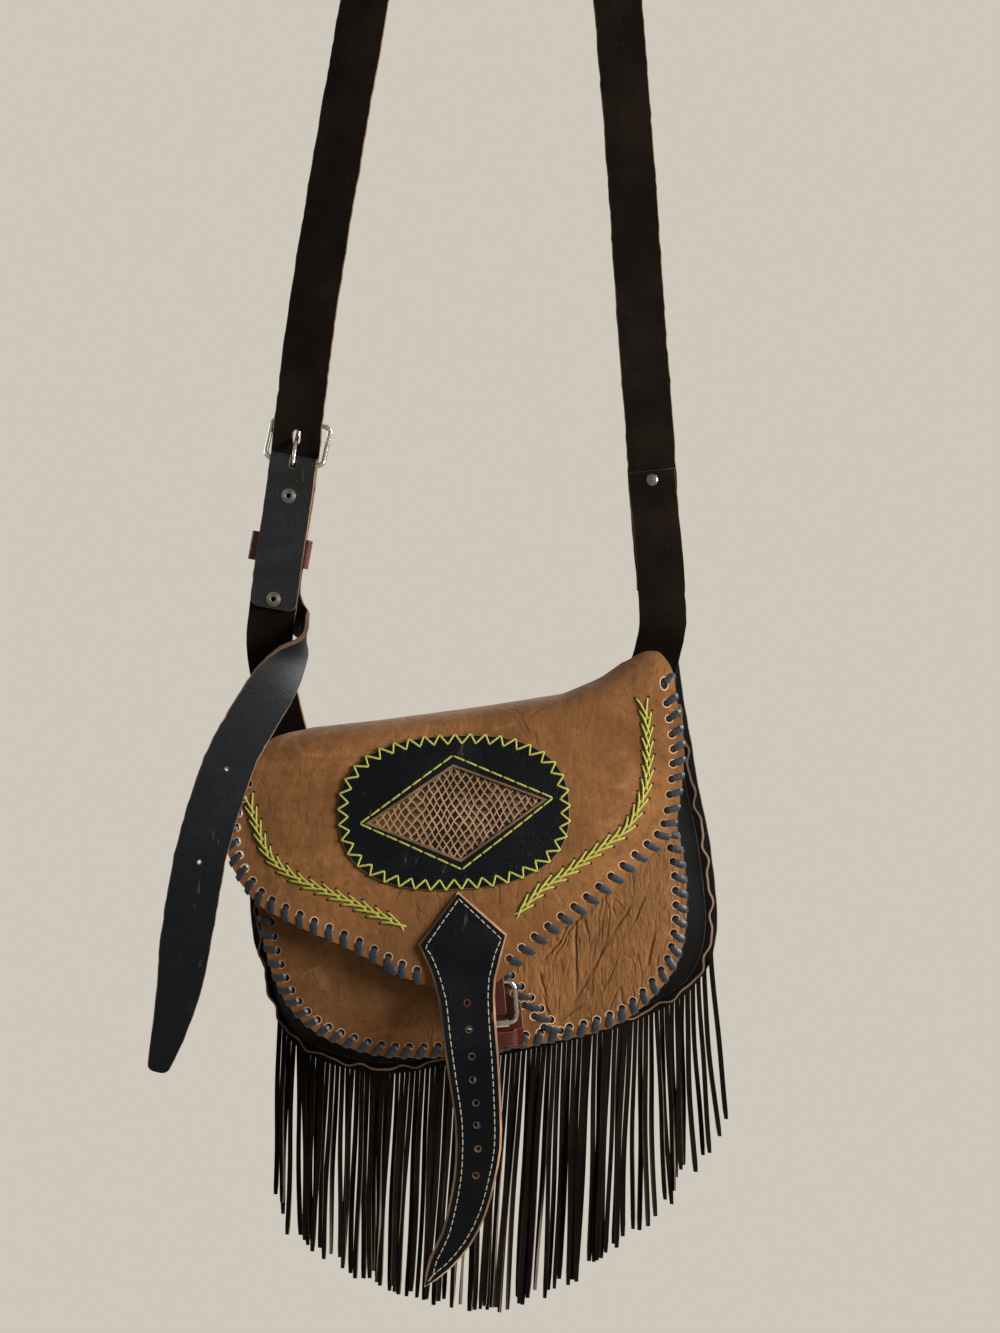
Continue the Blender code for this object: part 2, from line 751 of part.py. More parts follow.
def closure_outline(margin=0.0):
    """Straight top point and corners, curved blade below."""
    blade_right = catmull(CLOSURE_EDGE[1:12], 2)
    blade_left = catmull(CLOSURE_EDGE[11:22], 2)
    points = [CLOSURE_EDGE[0]] + blade_right + blade_left[1:]
    if not margin:
        return [(float(x), float(z)) for x, z in points]
    closed = [points[-1]] + points + [points[0]]
    return offset_outline(closed, [-margin] * len(closed))[1:-1]


def flap_fill(outline):
    """An even fill on the front and rows of points over the fold."""
    points = fill_points(outline, [], FLAP_FILL, lambda x: hinge_height(x) - FLAP_FILL / 2)
    for t in FOLD_ROWS:
        right = interpolate([(0.0, 124.0)] + FOLD_RIGHT, t) - FLAP_FILL / 2
        left = interpolate([(0.0, -130.0)] + FOLD_LEFT[::-1], t) + FLAP_FILL / 2
        count = int((right - left) / FOLD_FILL)
        for i in range(count + 1):
            x = left + (right - left) * i / count
            points.append((x, hinge_height(x) + FOLD_SPAN * t))
    return points


def build_flap(materials):
    outline = flap_outline()
    pieces = [sheet("flap", outline, flap_surface, SUEDE, materials["caramel"], fill=flap_fill(outline))]
    patch_height = SUEDE / 2 + LAYER_GAP + PATCH / 2
    patch = patch_outline()
    pieces.append(sheet("oval_patch", patch, raised_flap(patch_height), PATCH, materials["navy"],
                        holes=[WINDOW], fill=fill_points(patch, [WINDOW], FLAP_FILL)))
    inlay_height = SUEDE / 2 + LAYER_GAP + INLAY / 2
    inlay = shrink(WINDOW, WINDOW_GAP)
    pieces.append(sheet("snakeskin_inlay", inlay, raised_flap(inlay_height), INLAY, materials["snake"],
                        fill=fill_points(inlay, [], FLAP_FILL)))
    lining_height = SUEDE / 2 + LAYER_GAP + LINING / 2
    strap_height = lining_height + LINING / 2 + LAYER_GAP + CLOSURE / 2
    holes = [circle(spot, HOLE_RADIUS, 6) for spot in CLOSURE_HOLES]
    lining = closure_outline(LINING_MARGIN)
    fill = fill_points(closure_outline(-2.0), holes, FLAP_FILL)
    pieces.append(sheet("closure_strap_lining", lining, closure_surface(lining_height), LINING,
                        materials["raw"], holes=holes, fill=fill))
    pieces.append(sheet("closure_strap", closure_outline(), closure_surface(strap_height), CLOSURE,
                        materials["navy"], holes=holes, fill=fill))
    add_pivot("flap_hinge", (0.0, HINGE_Y, HINGE_Z), pieces)


def build_fringe(material):
    """One comb of leather: a band inside the rear seam and strands cut down from it."""
    source = random.Random(7)
    rim = [p for p in rim_points(REAR_RIM, 240)]
    low = [p for p in rim if p[1] < -112.0]
    low.reverse()
    keys = [(p[0], p[1]) for p in low]
    monotone = []
    for x, z in keys:
        if not monotone or x > monotone[-1][0] + 0.01:
            monotone.append((x, z))

    def rim_z(x):
        return interpolate(monotone, x)
    pitch = (FRINGE_RIGHT - FRINGE_LEFT) / STRANDS
    width = pitch * STRAND_FILL
    lower = []
    for i in range(STRANDS):
        share = i / (STRANDS - 1)
        left = FRINGE_LEFT + pitch * (i + 0.5) - width / 2
        right = left + width
        fan = STRAND_FAN * (max(share - 0.55, 0) / 0.45) ** 2 + STRAND_DRIFT * max(1 - share / 0.3, 0)
        tip = interpolate(FRINGE_TIPS, share) + source.uniform(-3.0, 3.0)
        root = min(rim_z(left), rim_z(right)) - 1.5
        middle = root + (tip - root) * 0.55
        sway = source.uniform(-0.05, 0.05) * pitch
        lower.append((left, root))
        lower.append((left + fan * 0.4 + sway, middle))
        lower.append((left + fan + sway, tip))
        lower.append((right + fan + sway, tip + source.uniform(-2.0, 2.0)))
        lower.append((right + fan * 0.4 + sway, middle))
        lower.append((right, root))
    first = FRINGE_LEFT
    last = FRINGE_RIGHT
    top = []
    for i in range(24, -1, -1):
        x = first + (last - first) * i / 24
        top.append((x, rim_z(x) + BAND_DEPTH))
    outline = lower + top

    def surface(x, z):
        depth = max(-235.0 - z, 0.0) / 130.0
        ripple = 1.3 * math.sin(x * 0.55) * depth
        return Vector((x, BACK_FACE_Y - BACK - FIT - FRINGE / 2 - ripple, z))
    return sheet("fringe", outline, surface, FRINGE, material)


def arch_points(left_top, right_top):
    """Round apex of the strap between its two runs, and the peg point under it."""
    left_lean = math.atan2(LEFT_RUN[0][0] - LEFT_RUN[1][0], LEFT_RUN[0][2] - LEFT_RUN[1][2])
    right_lean = math.atan2(RIGHT_RUN[1][0] - RIGHT_RUN[0][0], RIGHT_RUN[0][2] - RIGHT_RUN[1][2])
    radius = PEG_RADIUS
    # The circle's centre lies one radius inside both runs.
    a = (math.cos(left_lean), -math.sin(left_lean))
    b = (-math.cos(right_lean), -math.sin(right_lean))
    ca = a[0] * left_top[0] + a[1] * left_top[2] + radius
    cb = b[0] * right_top[0] + b[1] * right_top[2] + radius
    det = a[0] * b[1] - a[1] * b[0]
    centre_x = (ca * b[1] - a[1] * cb) / det
    centre_z = (a[0] * cb - ca * b[0]) / det
    points = []
    start = math.pi - left_lean
    steps = 8
    for i in range(steps + 1):
        angle = start + (right_lean - start) * i / steps
        points.append((centre_x + radius * math.cos(angle), 0.0, centre_z + radius * math.sin(angle)))
    return points, (centre_x, 0.0, centre_z + radius - STRAP / 2)


ARCH, PEG = arch_points(LEFT_RUN[0], RIGHT_RUN[0])


def shoulder_strap_stations():
    stations = strap_stations(list(reversed(RIGHT_RUN)) + list(reversed(ARCH)) + LEFT_RUN + BUCKLED)
    turned_tail = [(Vector(centre), Vector(across).normalized()) for centre, across in TAIL]
    flipped = [(centre, -across) for centre, across in stations]
    direction = flipped if flipped[-1][1].x > 0 else stations
    return direction + turned_tail


def build_shoulder_strap(material):
    surface, length = ribbon_surface(shoulder_strap_stations())

    def width_at(v):
        taper = max(v - (length - TAIL_TAPER), 0.0) / TAIL_TAPER
        return STRAP_WIDTH - (STRAP_WIDTH - TAIL_END_WIDTH) * taper ** 1.6
    slot_at = find_along(surface, length, TONGUE_SLOT_Z, -60.0)
    twist = find_along(surface, length, TAIL[0][0][2], -60.0)
    arch_start = find_along(surface, length, ARCH[-1][2], 1.0)
    close = [(arch_start - 20, arch_start + 180, 10.0), (slot_at - 16, slot_at + 40, 4.0), (twist - 10, twist + 160, 6.0)]
    places = stops(length, 18.0, close)
    outline = strap_outline(places, width_at, round_end=6)
    holes = [slot((0.0, slot_at), *TONGUE_SLOT)]
    holes.append(circle(locate(surface, length, *RIVET_POINT, 60.0), RIVET_SHANK + FIT))
    tail_start = find_along(surface, length, TAIL[4][0][2], -60.0)
    holes += [circle((0.0, tail_start + distance), HOLE_RADIUS, 6) for distance in TAIL_HOLES]
    bends = [v for v in places if slot_at - 16 < v < slot_at + 40]
    return sheet("shoulder_strap", outline, surface, STRAP, material, holes=holes, fill=row_fill(bends, (0.0, 8.0, -8.0), holes))


def find_along(surface, length, height, side):
    """Where the strap passes a height on the side of the bag that side points to."""
    places = [length * i / 1000 for i in range(1001)]
    for _ in range(2):
        facing = [v for v in places if surface(0, v).x * side > 0]
        best = min(facing, key=lambda v: abs(surface(0, v).z - height))
        stride = places[1] - places[0]
        places = [best + stride * (i / 50 - 1) for i in range(101)]
    return best


def tab_fold_points(bar, radius, steps=6):
    """Half turn over a bar, from its back round the top to its front, as y and z."""
    return [(bar[1] + radius * math.cos(math.pi * i / steps), bar[2] + radius * math.sin(math.pi * i / steps))
            for i in range(steps + 1)]


def build_strap_tab(material):
    """One strip: up from the bag, over the hinge bar and down in front as the short layer."""
    fold_radius = STRAP_WIRE + FIT + TAB / 2
    lean = (TAB_LONG[0][0] - HINGE_BAR[0]) / (TAB_LONG[0][2] - HINGE_BAR[2])
    centre = []
    for point in reversed(TAB_LONG):
        centre.append(Vector(point))
    for y, z in tab_fold_points(HINGE_BAR, fold_radius):
        centre.append(Vector((HINGE_BAR[0] + lean * (z - HINGE_BAR[2]), y, z)))
    lying = -TAB - FIT
    bulge = -TAB / 2 - FIT - KEEPER - FIT - TAB / 2
    short = [(136.0, -6.1), (132.0, -4.4), (129.0, -3.1), (126.5, lying), (118.0, lying), (108.0, lying), (100.0, bulge),
             (90.0, bulge), (79.0, bulge), (71.0, lying), (60.0, lying), (TAB_SHORT_FOOT_Z + 4.9, lying)]
    for z, y in short:
        x = interpolate([(49.0, -118.9), (58.0, -118.2), (92.0, -115.2), (128.0, -112.0), (142.5, -110.6)], z)
        centre.append(Vector((x, y, z)))
    stations = []
    for point in centre:
        stations.append((point, STRAP_ACROSS))
    surface, length = ribbon_surface(stations)
    holes = []
    fold_start = polyline_lengths([tuple(p) for p in centre])[len(TAB_LONG)]
    # The slot for the tongue runs over the fold.
    half_turn = math.pi * fold_radius
    holes.append(slot((0.0, fold_start + half_turn / 2), 2 * TONGUE_WIRE + 4 * FIT, half_turn + 10.0, half_turn / 8))
    for x, z in TAB_RIVETS:
        for low, high in ((0.0, fold_start), (fold_start + half_turn, length)):
            holes.append(circle(crossing(surface, low, high, x, z), EYELET_BARREL + FIT))
    close = [(fold_start, fold_start + half_turn, half_turn / 8), (fold_start + half_turn, fold_start + half_turn + 18.0, 3.0),
             (fold_start + half_turn + 18.0, length, 5.0)]
    places = stops(length, 8.0, close)
    outline = strap_outline(places, lambda v: TAB_WIDTH, round_end=6)
    bend = [v for v in places if fold_start - 20.0 < v < fold_start + half_turn + 20.0]
    return sheet("strap_left_tab", outline, surface, TAB, material, holes=holes, fill=row_fill(bend, (0.0, 7.0, -7.0), holes))


def crossing(surface, low, high, x, z):
    """Position on one stretch of a strap of the point at x and z."""
    places = [low + (high - low) * i / 400 for i in range(401)]
    along = min(places, key=lambda v: abs(surface(0, v).z - z))
    return x - surface(0, along).x, along


def build_eyelet(name, x, z, material):
    front = -TAB - FIT - TAB / 2 - FIT
    back = TAB / 2 + FIT
    profile = [
        (EYELET_BORE, front - EYELET_FLANGE), (EYELET_BARREL, front - EYELET_FLANGE - 0.3),
        (EYELET_RADIUS, front - 0.35), (EYELET_RADIUS, front), (EYELET_BARREL, front),
        (EYELET_BARREL, back), (EYELET_RADIUS - 0.5, back), (EYELET_RADIUS - 0.5, back + 0.4),
        (EYELET_BORE, back + 0.5),
    ]
    return turned(name, profile, (x, 0, z), (0, 1, 0), material)


def build_strap_keeper(material):
    """Closed band: in front between the tab's layers, at the back over the free end."""
    front = -TAB / 2 - FIT - KEEPER / 2
    back = STRAP_BEHIND + STRAP / 2 + FIT + KEEPER / 2
    middle = (back + front) / 2
    loop = [(x, middle + y) for x, y in rounded_frame(KEEPER_WIDTH, back - front, 1.6)]
    rows = []
    for x, y in loop:
        row = []
        for height in (KEEPER_HEIGHT / 2, -KEEPER_HEIGHT / 2):
            lean = STRAP_ACROSS * x + Vector((-STRAP_ACROSS.z, 0, STRAP_ACROSS.x)) * height
            row.append(Vector((KEEPER_CENTRE[0], y, KEEPER_CENTRE[1])) + lean)
        rows.append(row)
    return grid_sheet("strap_keeper", rows, KEEPER, material, closed=True)


def rounded_frame(width, height, corner, steps=3):
    """Rounded rectangle about its middle, as across and along."""
    points = []
    corners = ((1, 1, 0), (-1, 1, 1), (-1, -1, 2), (1, -1, 3))
    for sx, sy, quarter in corners:
        for i in range(steps + 1):
            angle = math.pi / 2 * (quarter + i / steps)
            points.append((sx * (width / 2 - corner) + corner * math.cos(angle),
                           sy * (height / 2 - corner) + corner * math.sin(angle)))
    return points


def build_strap_buckle(materials):
    hinge, far = Vector(HINGE_BAR), Vector(FAR_BAR)
    along = far - hinge
    across = STRAP_ACROSS
    along -= across * along.dot(across)
    height = along.length
    along.normalize()
    middle = hinge + along * height / 2
    points = [middle + across * u + along * v for u, v in rounded_frame(STRAP_BUCKLE_WIDTH, height, 4.0)]
    wire("strap_buckle_frame", points, STRAP_WIRE, materials["nickel"], closed=True)
    ring = STRAP_WIRE + FIT + TONGUE_WIRE
    path = []
    for i in range(9):
        angle = math.radians(100 - 280 * i / 8)
        path.append((0.0, hinge.y + ring * math.cos(angle), hinge.z + ring * math.sin(angle)))
    path.append((0.0, *TONGUE_TURNS_AT))
    path.append((0.0, 1.0, TONGUE_SLOT_Z - 0.3))
    path.append((0.0, far.y + ring, far.z - 1.5))
    path.append((0.0, far.y + ring + 0.6, far.z + 2.5))
    lean = (far.x - hinge.x) / (far.z - hinge.z)
    placed = [(hinge.x + lean * (z - hinge.z), y, z) for _, y, z in path]
    wire("strap_buckle_tongue", placed, TONGUE_WIRE, materials["nickel"])


def front_frame_axes():
    """Across the buckle, and down the front where its base lies."""
    across = Vector((math.cos(BUCKLE_TILT), 0, math.sin(BUCKLE_TILT)))
    drop = FRONT_BUCKLE_BAR[1] - BASE_FOOT
    back = front_y(FRONT_BUCKLE_BAR[0], BASE_FOOT) - front_y(*FRONT_BUCKLE_BAR)
    down = Vector((math.sin(BUCKLE_TILT) * drop, back, -math.cos(BUCKLE_TILT) * drop)).normalized()
    return across, down


def front_bar_point():
    """Centre of the hinge bar, held off the front by the folded base."""
    ring = FRONT_WIRE + FIT + BASE / 2
    face = front_y(*FRONT_BUCKLE_BAR) - SUEDE / 2
    return Vector((FRONT_BUCKLE_BAR[0], face - BASE_STAND - BASE / 2 - ring, FRONT_BUCKLE_BAR[1]))


def build_front_buckle(materials):
    across, down = front_frame_axes()
    bar = front_bar_point()
    width, height = FRONT_BUCKLE_SIZE
    down = (down * height + Vector((0, -FRONT_FRAME_STAND, 0))).normalized()
    middle = bar + down * height / 2
    points = [middle + across * u + down * v for u, v in rounded_frame(width, height, 5.0)]
    frame = wire("front_buckle_frame", points, FRONT_WIRE, materials["nickel"], closed=True)
    bore = FRONT_WIRE + FIT
    half = ROLLER_LENGTH / 2
    profile = [(bore, -half), (ROLLER_RADIUS, -half), (ROLLER_RADIUS, half), (bore, half)]
    roller = turned("front_buckle_roller", profile, bar + down * height, across, materials["nickel"])
    ring = FRONT_WIRE + FIT + FRONT_TONGUE_WIRE
    front = down.cross(across)
    path = []
    for i in range(11):
        angle = math.radians(280 - 280 * i / 10)
        path.append(bar + front * ring * math.cos(angle) - down * ring * math.sin(angle))
    rest = ROLLER_RADIUS + FIT + FRONT_TONGUE_WIRE
    path.append(bar + front * (ring + rest) / 2 + down * height * 0.5)
    path.append(bar + front * rest + down * (height - 2))
    path.append(bar + front * rest + down * (height + 3))
    tongue = wire("front_buckle_tongue", path, FRONT_TONGUE_WIRE, materials["nickel"])
    roller_pivot = add_pivot("front_roller_axle", bar + down * height, [roller])
    add_pivot("front_buckle_hinge", bar, [frame, tongue, roller_pivot])


def build_front_base(material):
    """Burgundy strip: flat on the front, folded over the hinge bar with a short front end."""
    across, down = front_frame_axes()
    bar = front_bar_point()
    ring = FRONT_WIRE + FIT + BASE / 2
    length = FRONT_BUCKLE_BAR[1] - BASE_FOOT
    back = across.cross(down)
    centre = [bar + back * ring + down * length * (1 - i / 6) for i in range(6)]
    for i in range(9):
        angle = math.pi * i / 8
        centre.append(bar + back * ring * math.cos(angle) - down * ring * math.sin(angle))
    # The short end passes back through the frame and lies on the base.
    lying = ring - BASE - FIT
    centre.append(bar + back * (lying - ring) / 2 + down * 4.0)
    centre.append(bar + back * lying + down * 8.0)
    centre.append(bar + back * lying + down * (8.0 + FOLD_TAIL / 2))
    centre.append(bar + back * lying + down * (8.0 + FOLD_TAIL))
    stations = [(point, across) for point in centre]
    surface, total = ribbon_surface(stations)
    half_turn = math.pi * ring

    def width_at(v):
        return BASE_WIDTH - (BASE_WIDTH - FOLD_WIDTH) * smooth_step((v - length + 14.0) / 8.0)
    close = [(length - 14.0, length, 4.0), (length, length + half_turn, half_turn / 8)]
    outline = strap_outline(stops(total, 5.0, close), width_at)
    opening = slot((0.0, length + half_turn / 2), 2 * FRONT_TONGUE_WIRE + 4 * FIT, half_turn + 9.0, half_turn / 8)
    return sheet("buckle_tab", outline, surface, BASE, material, holes=[opening])


def build_closure_keeper(material):
    """Loop that stands off the base, its two feet sewn flat."""
    across, down = front_frame_axes()
    front = down.cross(across)
    ring = FRONT_WIRE + FIT + BASE / 2
    centre = front_bar_point() + down * LOOP_DROP - front * (ring - BASE / 2 - FIT - KEEPER / 2)
    half = BASE_WIDTH / 2
    shape = [(-half, 0), (-half + 3.5, 0), (-half + 5, -LOOP_RISE * 0.4), (-half + 7, -LOOP_RISE),
             (half - 7, -LOOP_RISE), (half - 5, -LOOP_RISE * 0.4), (half - 3.5, 0), (half, 0)]
    rows = []
    for u, y in shape:
        row = []
        for v in (-LOOP_HEIGHT / 2, LOOP_HEIGHT / 2):
            row.append(centre + across * u + down * v - front * y)
        rows.append(row)
    return grid_sheet("closure_keeper", rows, KEEPER, material)


def build_right_tab(material):
    surface, length = ribbon_surface(strap_stations(RIGHT_TAB))
    outline = strap_outline(stops(length, 10.0), lambda v: TAB_WIDTH)
    hole = circle(locate(surface, length, *RIVET_POINT, 60.0), RIVET_SHANK + FIT)
    return sheet("strap_right_lower", outline, surface, TAB, material, holes=[hole])


def build_rivet(material):
    front = RIGHT_TAB[0][1] - TAB / 2 - FIT
    back = STRAP / 2 + FIT
    profile = [
        (0, front - 1.3), (RIVET_RADIUS * 0.7, front - 1.0), (RIVET_RADIUS, front - 0.3), (RIVET_RADIUS, front),
        (RIVET_SHANK, front), (RIVET_SHANK, back), (RIVET_RADIUS, back), (RIVET_RADIUS, back + 0.7), (0, back + 1.0),
    ]
    return turned("strap_rivet", profile, (RIVET_POINT[0], 0, RIVET_POINT[1]), (0, 1, 0), material)


def add_pivot(name, point, children):
    """Parent empty on a joint's axis for the pieces that turn about it."""
    place = to_world(point)
    pivot = bpy.data.objects.new(name, None)
    pivot.empty_display_size = 0.02
    pivot.location = place
    bpy.context.collection.objects.link(pivot)
    for child in children:
        child.parent = pivot
        child.matrix_parent_inverse = Matrix.Translation(-place)
    return pivot


def main():
    clear_scene()
    materials = {
        "caramel": make_material("suede_caramel", CARAMEL, 0.92),
        "tan": make_material("leather_tan", TAN, 0.7),
        "navy": make_material("leather_black", NAVY_BLACK, 0.45),
        "rough": make_material("leather_rough", ROUGH_BLACK, 0.9),
        "black_suede": make_material("suede_black", ROUGH_BLACK, 0.95),
        "burgundy": make_material("leather_burgundy", BURGUNDY, 0.5),
        "raw": make_material("leather_raw", RAW_EDGE, 0.85),
        "snake": make_material("snakeskin", SNAKE, 0.55),
        "nickel": make_material("nickel", NICKEL, 0.3, 1.0),
        "dark": make_material("dark_metal", DARK_METAL, 0.45, 1.0),
    }
    build_back_panel(materials["navy"])
    build_gusset(materials["black_suede"])
    right, left = panel_parts()
    sheet("front_panel_right", right, front_surface, SUEDE, materials["tan"], fill=fill_points(right, [], PANEL_FILL))
    sheet("front_panel_left", left, front_surface, SUEDE, materials["caramel"], fill=fill_points(left, [], PANEL_FILL))
    build_flap(materials)
    build_fringe(materials["rough"])
    build_shoulder_strap(materials["rough"])
    build_strap_tab(materials["navy"])
    for name, (x, z) in zip(("tab_rivet_upper", "tab_rivet_lower"), TAB_RIVETS):
        build_eyelet(name, x, z, materials["dark"])
    build_strap_keeper(materials["burgundy"])
    build_strap_buckle(materials)
    build_right_tab(materials["rough"])
    build_rivet(materials["dark"])
    build_front_base(materials["burgundy"])
    build_closure_keeper(materials["burgundy"])
    build_front_buckle(materials)


main()
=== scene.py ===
"""Fringed suede shoulder bag: its leather, lacing, stitches, fringe and metal over the solid frame.

Lengths from the bag are in millimetres in its own frame: +X to the right as the front is
seen, +Y to the back, +Z up, zero at the middle of the flap's fold. to_world brings them
to the frame's metres, whose origin is the strap's inner apex.
"""
import math
import random
from bisect import bisect
from itertools import accumulate, repeat

import bmesh
import bpy
from mathutils import Matrix, Vector, noise
from mathutils.geometry import delaunay_2d_cdt


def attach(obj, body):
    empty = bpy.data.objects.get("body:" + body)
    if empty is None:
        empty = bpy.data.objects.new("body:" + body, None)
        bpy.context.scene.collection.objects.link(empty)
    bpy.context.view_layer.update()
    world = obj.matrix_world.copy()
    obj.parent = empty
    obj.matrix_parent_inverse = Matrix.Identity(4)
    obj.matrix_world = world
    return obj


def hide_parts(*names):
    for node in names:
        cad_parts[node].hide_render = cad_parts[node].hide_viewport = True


bl_info = {
    "name": "Fringed suede bag",
    "version": (1, 0, 0),
    "blender": (4, 5, 0),
    "location": "3D View > Sidebar > Bag",
    "description": "Builds the looks of a fringed suede shoulder bag over its solid frame",
    "category": "Object",
}

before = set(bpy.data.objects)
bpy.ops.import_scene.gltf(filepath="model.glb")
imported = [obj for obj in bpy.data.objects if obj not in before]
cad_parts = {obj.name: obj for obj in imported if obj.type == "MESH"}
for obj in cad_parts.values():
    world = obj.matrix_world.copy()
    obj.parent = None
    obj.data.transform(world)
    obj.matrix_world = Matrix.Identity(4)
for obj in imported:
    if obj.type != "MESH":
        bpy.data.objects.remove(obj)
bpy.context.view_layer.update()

MM = 0.001
FIT = 0.3

# Leather thicknesses
SUEDE = 1.8
LINING = 1.0
PATCH = 1.4
GUSSET = 1.6
BACK = 2.0
STRAP = 2.8
TAB = 2.6
KEEPER = 1.2
BASE = 1.4
FRINGE = 1.6

# Faces of a leather: outer, cut edge, inner
BLACK = ("smooth_black", "raw_edge", "rough_black")
BURGUNDY = ("smooth_burgundy", "raw_edge", "smooth_burgundy")

# Bag body
BACK_FACE_Y = 25.0
FRONT_TOP_Y = -20.0
FRONT_LEAN = 12.0
LEAN_DROP = 150.0
FRONT_BULGE = 7.0
BULGE_CENTRE = (8.0, -115.0)
BULGE_HALF = (135.0, 105.0)
MOUTH_DROP = 10.0
FRONT_SEAM = 8.0
REAR_SEAM = 5.0
SEAM_GAP = 0.5
LACE_ROOM = 1.4
FLAP_STAND = 4.0
TIP_LIFT = 8.0
TIP_LIFT_FROM = -75.0
TIP_LIFT_TO = -160.0

# The fold's straight hinge line at the top of the back, and the fold's height over it
HINGE_Z = -11.0
HINGE_SLOPE = 0.2336
FOLD_SPAN = 60.0
HINGE_GAP = 0.8
FOLD_TOP = [(-140, -30), (-110, -19), (-50, -9), (13, 3), (59, 13), (81, 24), (106, 44), (113, 48), (124, 46)]
FOLD_RIGHT = [(0.1, 122.5), (0.2, 119), (0.3, 112), (0.38, 103), (0.45, 94), (0.7, 91), (1.0, 91)]
FOLD_LEFT = [(1.0, -86), (0.7, -86), (0.45, -92), (0.38, -102), (0.3, -112), (0.2, -121), (0.1, -127)]

# Outlines as seen from the front, x and z
FLAP_EDGE = [
    (-130, -46), (-135.5, -72), (-132, -95), (-116, -117), (-91.5, -129), (-56, -142), (-25, -155.5),
    (8, -163.5), (30, -153.5), (54, -131.5), (82.6, -108), (108, -84), (125, -66), (129.5, -46),
    (130.8, -17), (127, 4), (124.2, 16.3),
]
FRONT_RIM = [
    (121, 5), (124, -30), (128, -58), (134, -82), (136.8, -112), (134, -137), (124.7, -154.3),
    (109.3, -171), (90, -182), (65, -189.3), (31.5, -197), (0, -202.5), (-34, -204.3), (-61, -198.8),
    (-81, -189.3), (-96, -173.7), (-106.5, -151.4), (-114, -122), (-118, -90), (-119, -52),
]
REAR_RIM = [
    (130, 10), (134.7, -10), (141.8, -41.8), (149, -68), (155, -100), (157.5, -125), (154, -147),
    (143, -164), (115, -181), (85, -192.7), (33, -207), (0, -214.6), (-35, -222), (-67, -218.5),
    (-90, -209), (-105, -192), (-113, -170), (-118, -148), (-122, -122), (-125, -90), (-126, -50),
]
RIM_WAVE = 1.1
RIM_WAVE_LENGTH = 23.0
BACK_MARGIN = 3.5
BACK_EAR_RIGHT = [(100.5, 36), (128, 38)]
BACK_EAR_LEFT = [(-122, -20), (-92, -22)]
PANEL_SEAM_FOOT = (68.0, -189.0)
PANEL_SEAM_RISE = 1.016
SEAM_STITCHES = 13
SEAM_START = 9.0
SEAM_REACH = 2.9
SEAM_SLANT = 3.9

# Patch on the flap
PATCH_CENTRE = (-2.5, -59.5)
PATCH_SIZE = (135.0, 89.0)
PATCH_TILT = 6.0
PATCH_POWER = 2.5
WINDOW = [(-50.8, -68.5), (-4.6, -33.6), (48.4, -49.8), (3.0, -86.4)]
LAYER_GAP = 0.6

# Closure strap
CLOSURE = 1.8
CLOSURE_EDGE = [
    (2.7, -106), (31.2, -128), (26, -153), (27, -172), (30, -194), (33.2, -224), (34.4, -246), (32, -266),
    (28, -285), (20.5, -303), (9.5, -318), (-3.4, -329), (-0.5, -313), (5.6, -298), (9.6, -275), (10.9, -256),
    (9.6, -233), (5, -210), (-0.6, -182), (-3.8, -166), (-10.6, -148), (-17.4, -136),
]
LINING_MARGIN = 1.2
CLOSURE_HOLES = [
    (11.5, -166.8), (13.4, -180.5), (15.9, -194.6), (17.2, -207.8), (19.7, -220.9), (20.9, -233.5),
    (22.3, -247.2), (22, -262.8),
]
HOLE_RADIUS = 2.0
CLOSURE_SEWN_TO = -148.0
CLOSURE_BOW = 19.0
CLOSURE_RETURN = 10.0
SEAM_PITCH = 4.3
SEAM_PAUSE = 1.0

# Front buckle on its burgundy base
BUCKLE_TILT = math.radians(8.0)
FRONT_BUCKLE_BAR = (21.0, -157.0)
FRONT_BUCKLE_SIZE = (34.0, 24.0)
FRONT_WIRE = 1.5
FRONT_TONGUE_WIRE = 0.9
FRONT_FRAME_STAND = 1.4
BASE_STAND = 0.8
BASE_WIDTH = 40.0
BASE_FOOT = -196.0
FOLD_WIDTH = 22.0
FOLD_TAIL = 11.0
ROLLER_RADIUS = 2.7
LOOP_DROP = 32.5
LOOP_HEIGHT = 8.0
LOOP_RISE = 7.0

# Shoulder strap
STRAP_WIDTH = 29.0
PEG_RADIUS = 50.0
STRAP_BEHIND = 4.2
LEFT_RUN = [(-83.8, 0, 421), (-94.5, 0, 330), (-104.2, 0, 240), (-108.5, 0, 180), (-109.6, 0, 166)]
RIGHT_RUN = [(67.7, 0, 430), (80, 0, 340), (91, 0, 251), (101, 0, 175), (107.5, 0, 120), (113.5, 0, 79)]
BUCKLED = [
    (-110.2, 2.3, 154), (-110.8, 4.1, 146), (-111.5, 4.2, 137), (-112.8, 4.2, 120), (-115.5, 4.2, 90),
    (-117.6, 4.2, 68),
]
TAIL = [
    ((-113.5, 7.2, 55), (0.97, -0.2, 0.1)),
    ((-103.5, 7.5, 46), (0.45, -0.85, 0.25)),
    ((-98.5, -3, 35), (0, -1, 0.2)),
    ((-106, -19, 22), (-0.55, -0.72, 0.4)),
    ((-113, -36, 7), (-0.8, -0.32, 0.5)),
    ((-121, -51, -11), (-0.85, -0.2, 0.48)),
    ((-130.5, -63, -33), (-0.92, -0.2, 0.33)),
    ((-137.5, -73, -60), (-0.96, -0.2, 0.22)),
    ((-143.5, -79, -92), (-0.97, -0.2, 0.13)),
    ((-148, -79, -130), (-0.98, -0.2, 0.08)),
    ((-151.5, -76, -165), (-0.97, -0.22, 0.1)),
    ((-157, -72, -193), (-0.95, -0.22, 0.18)),
    ((-162.5, -68, -214), (-0.94, -0.22, 0.22)),
]
TAIL_TAPER = 85.0
TAIL_END_WIDTH = 12.0
TAIL_HOLES = (60.0, 115.0)

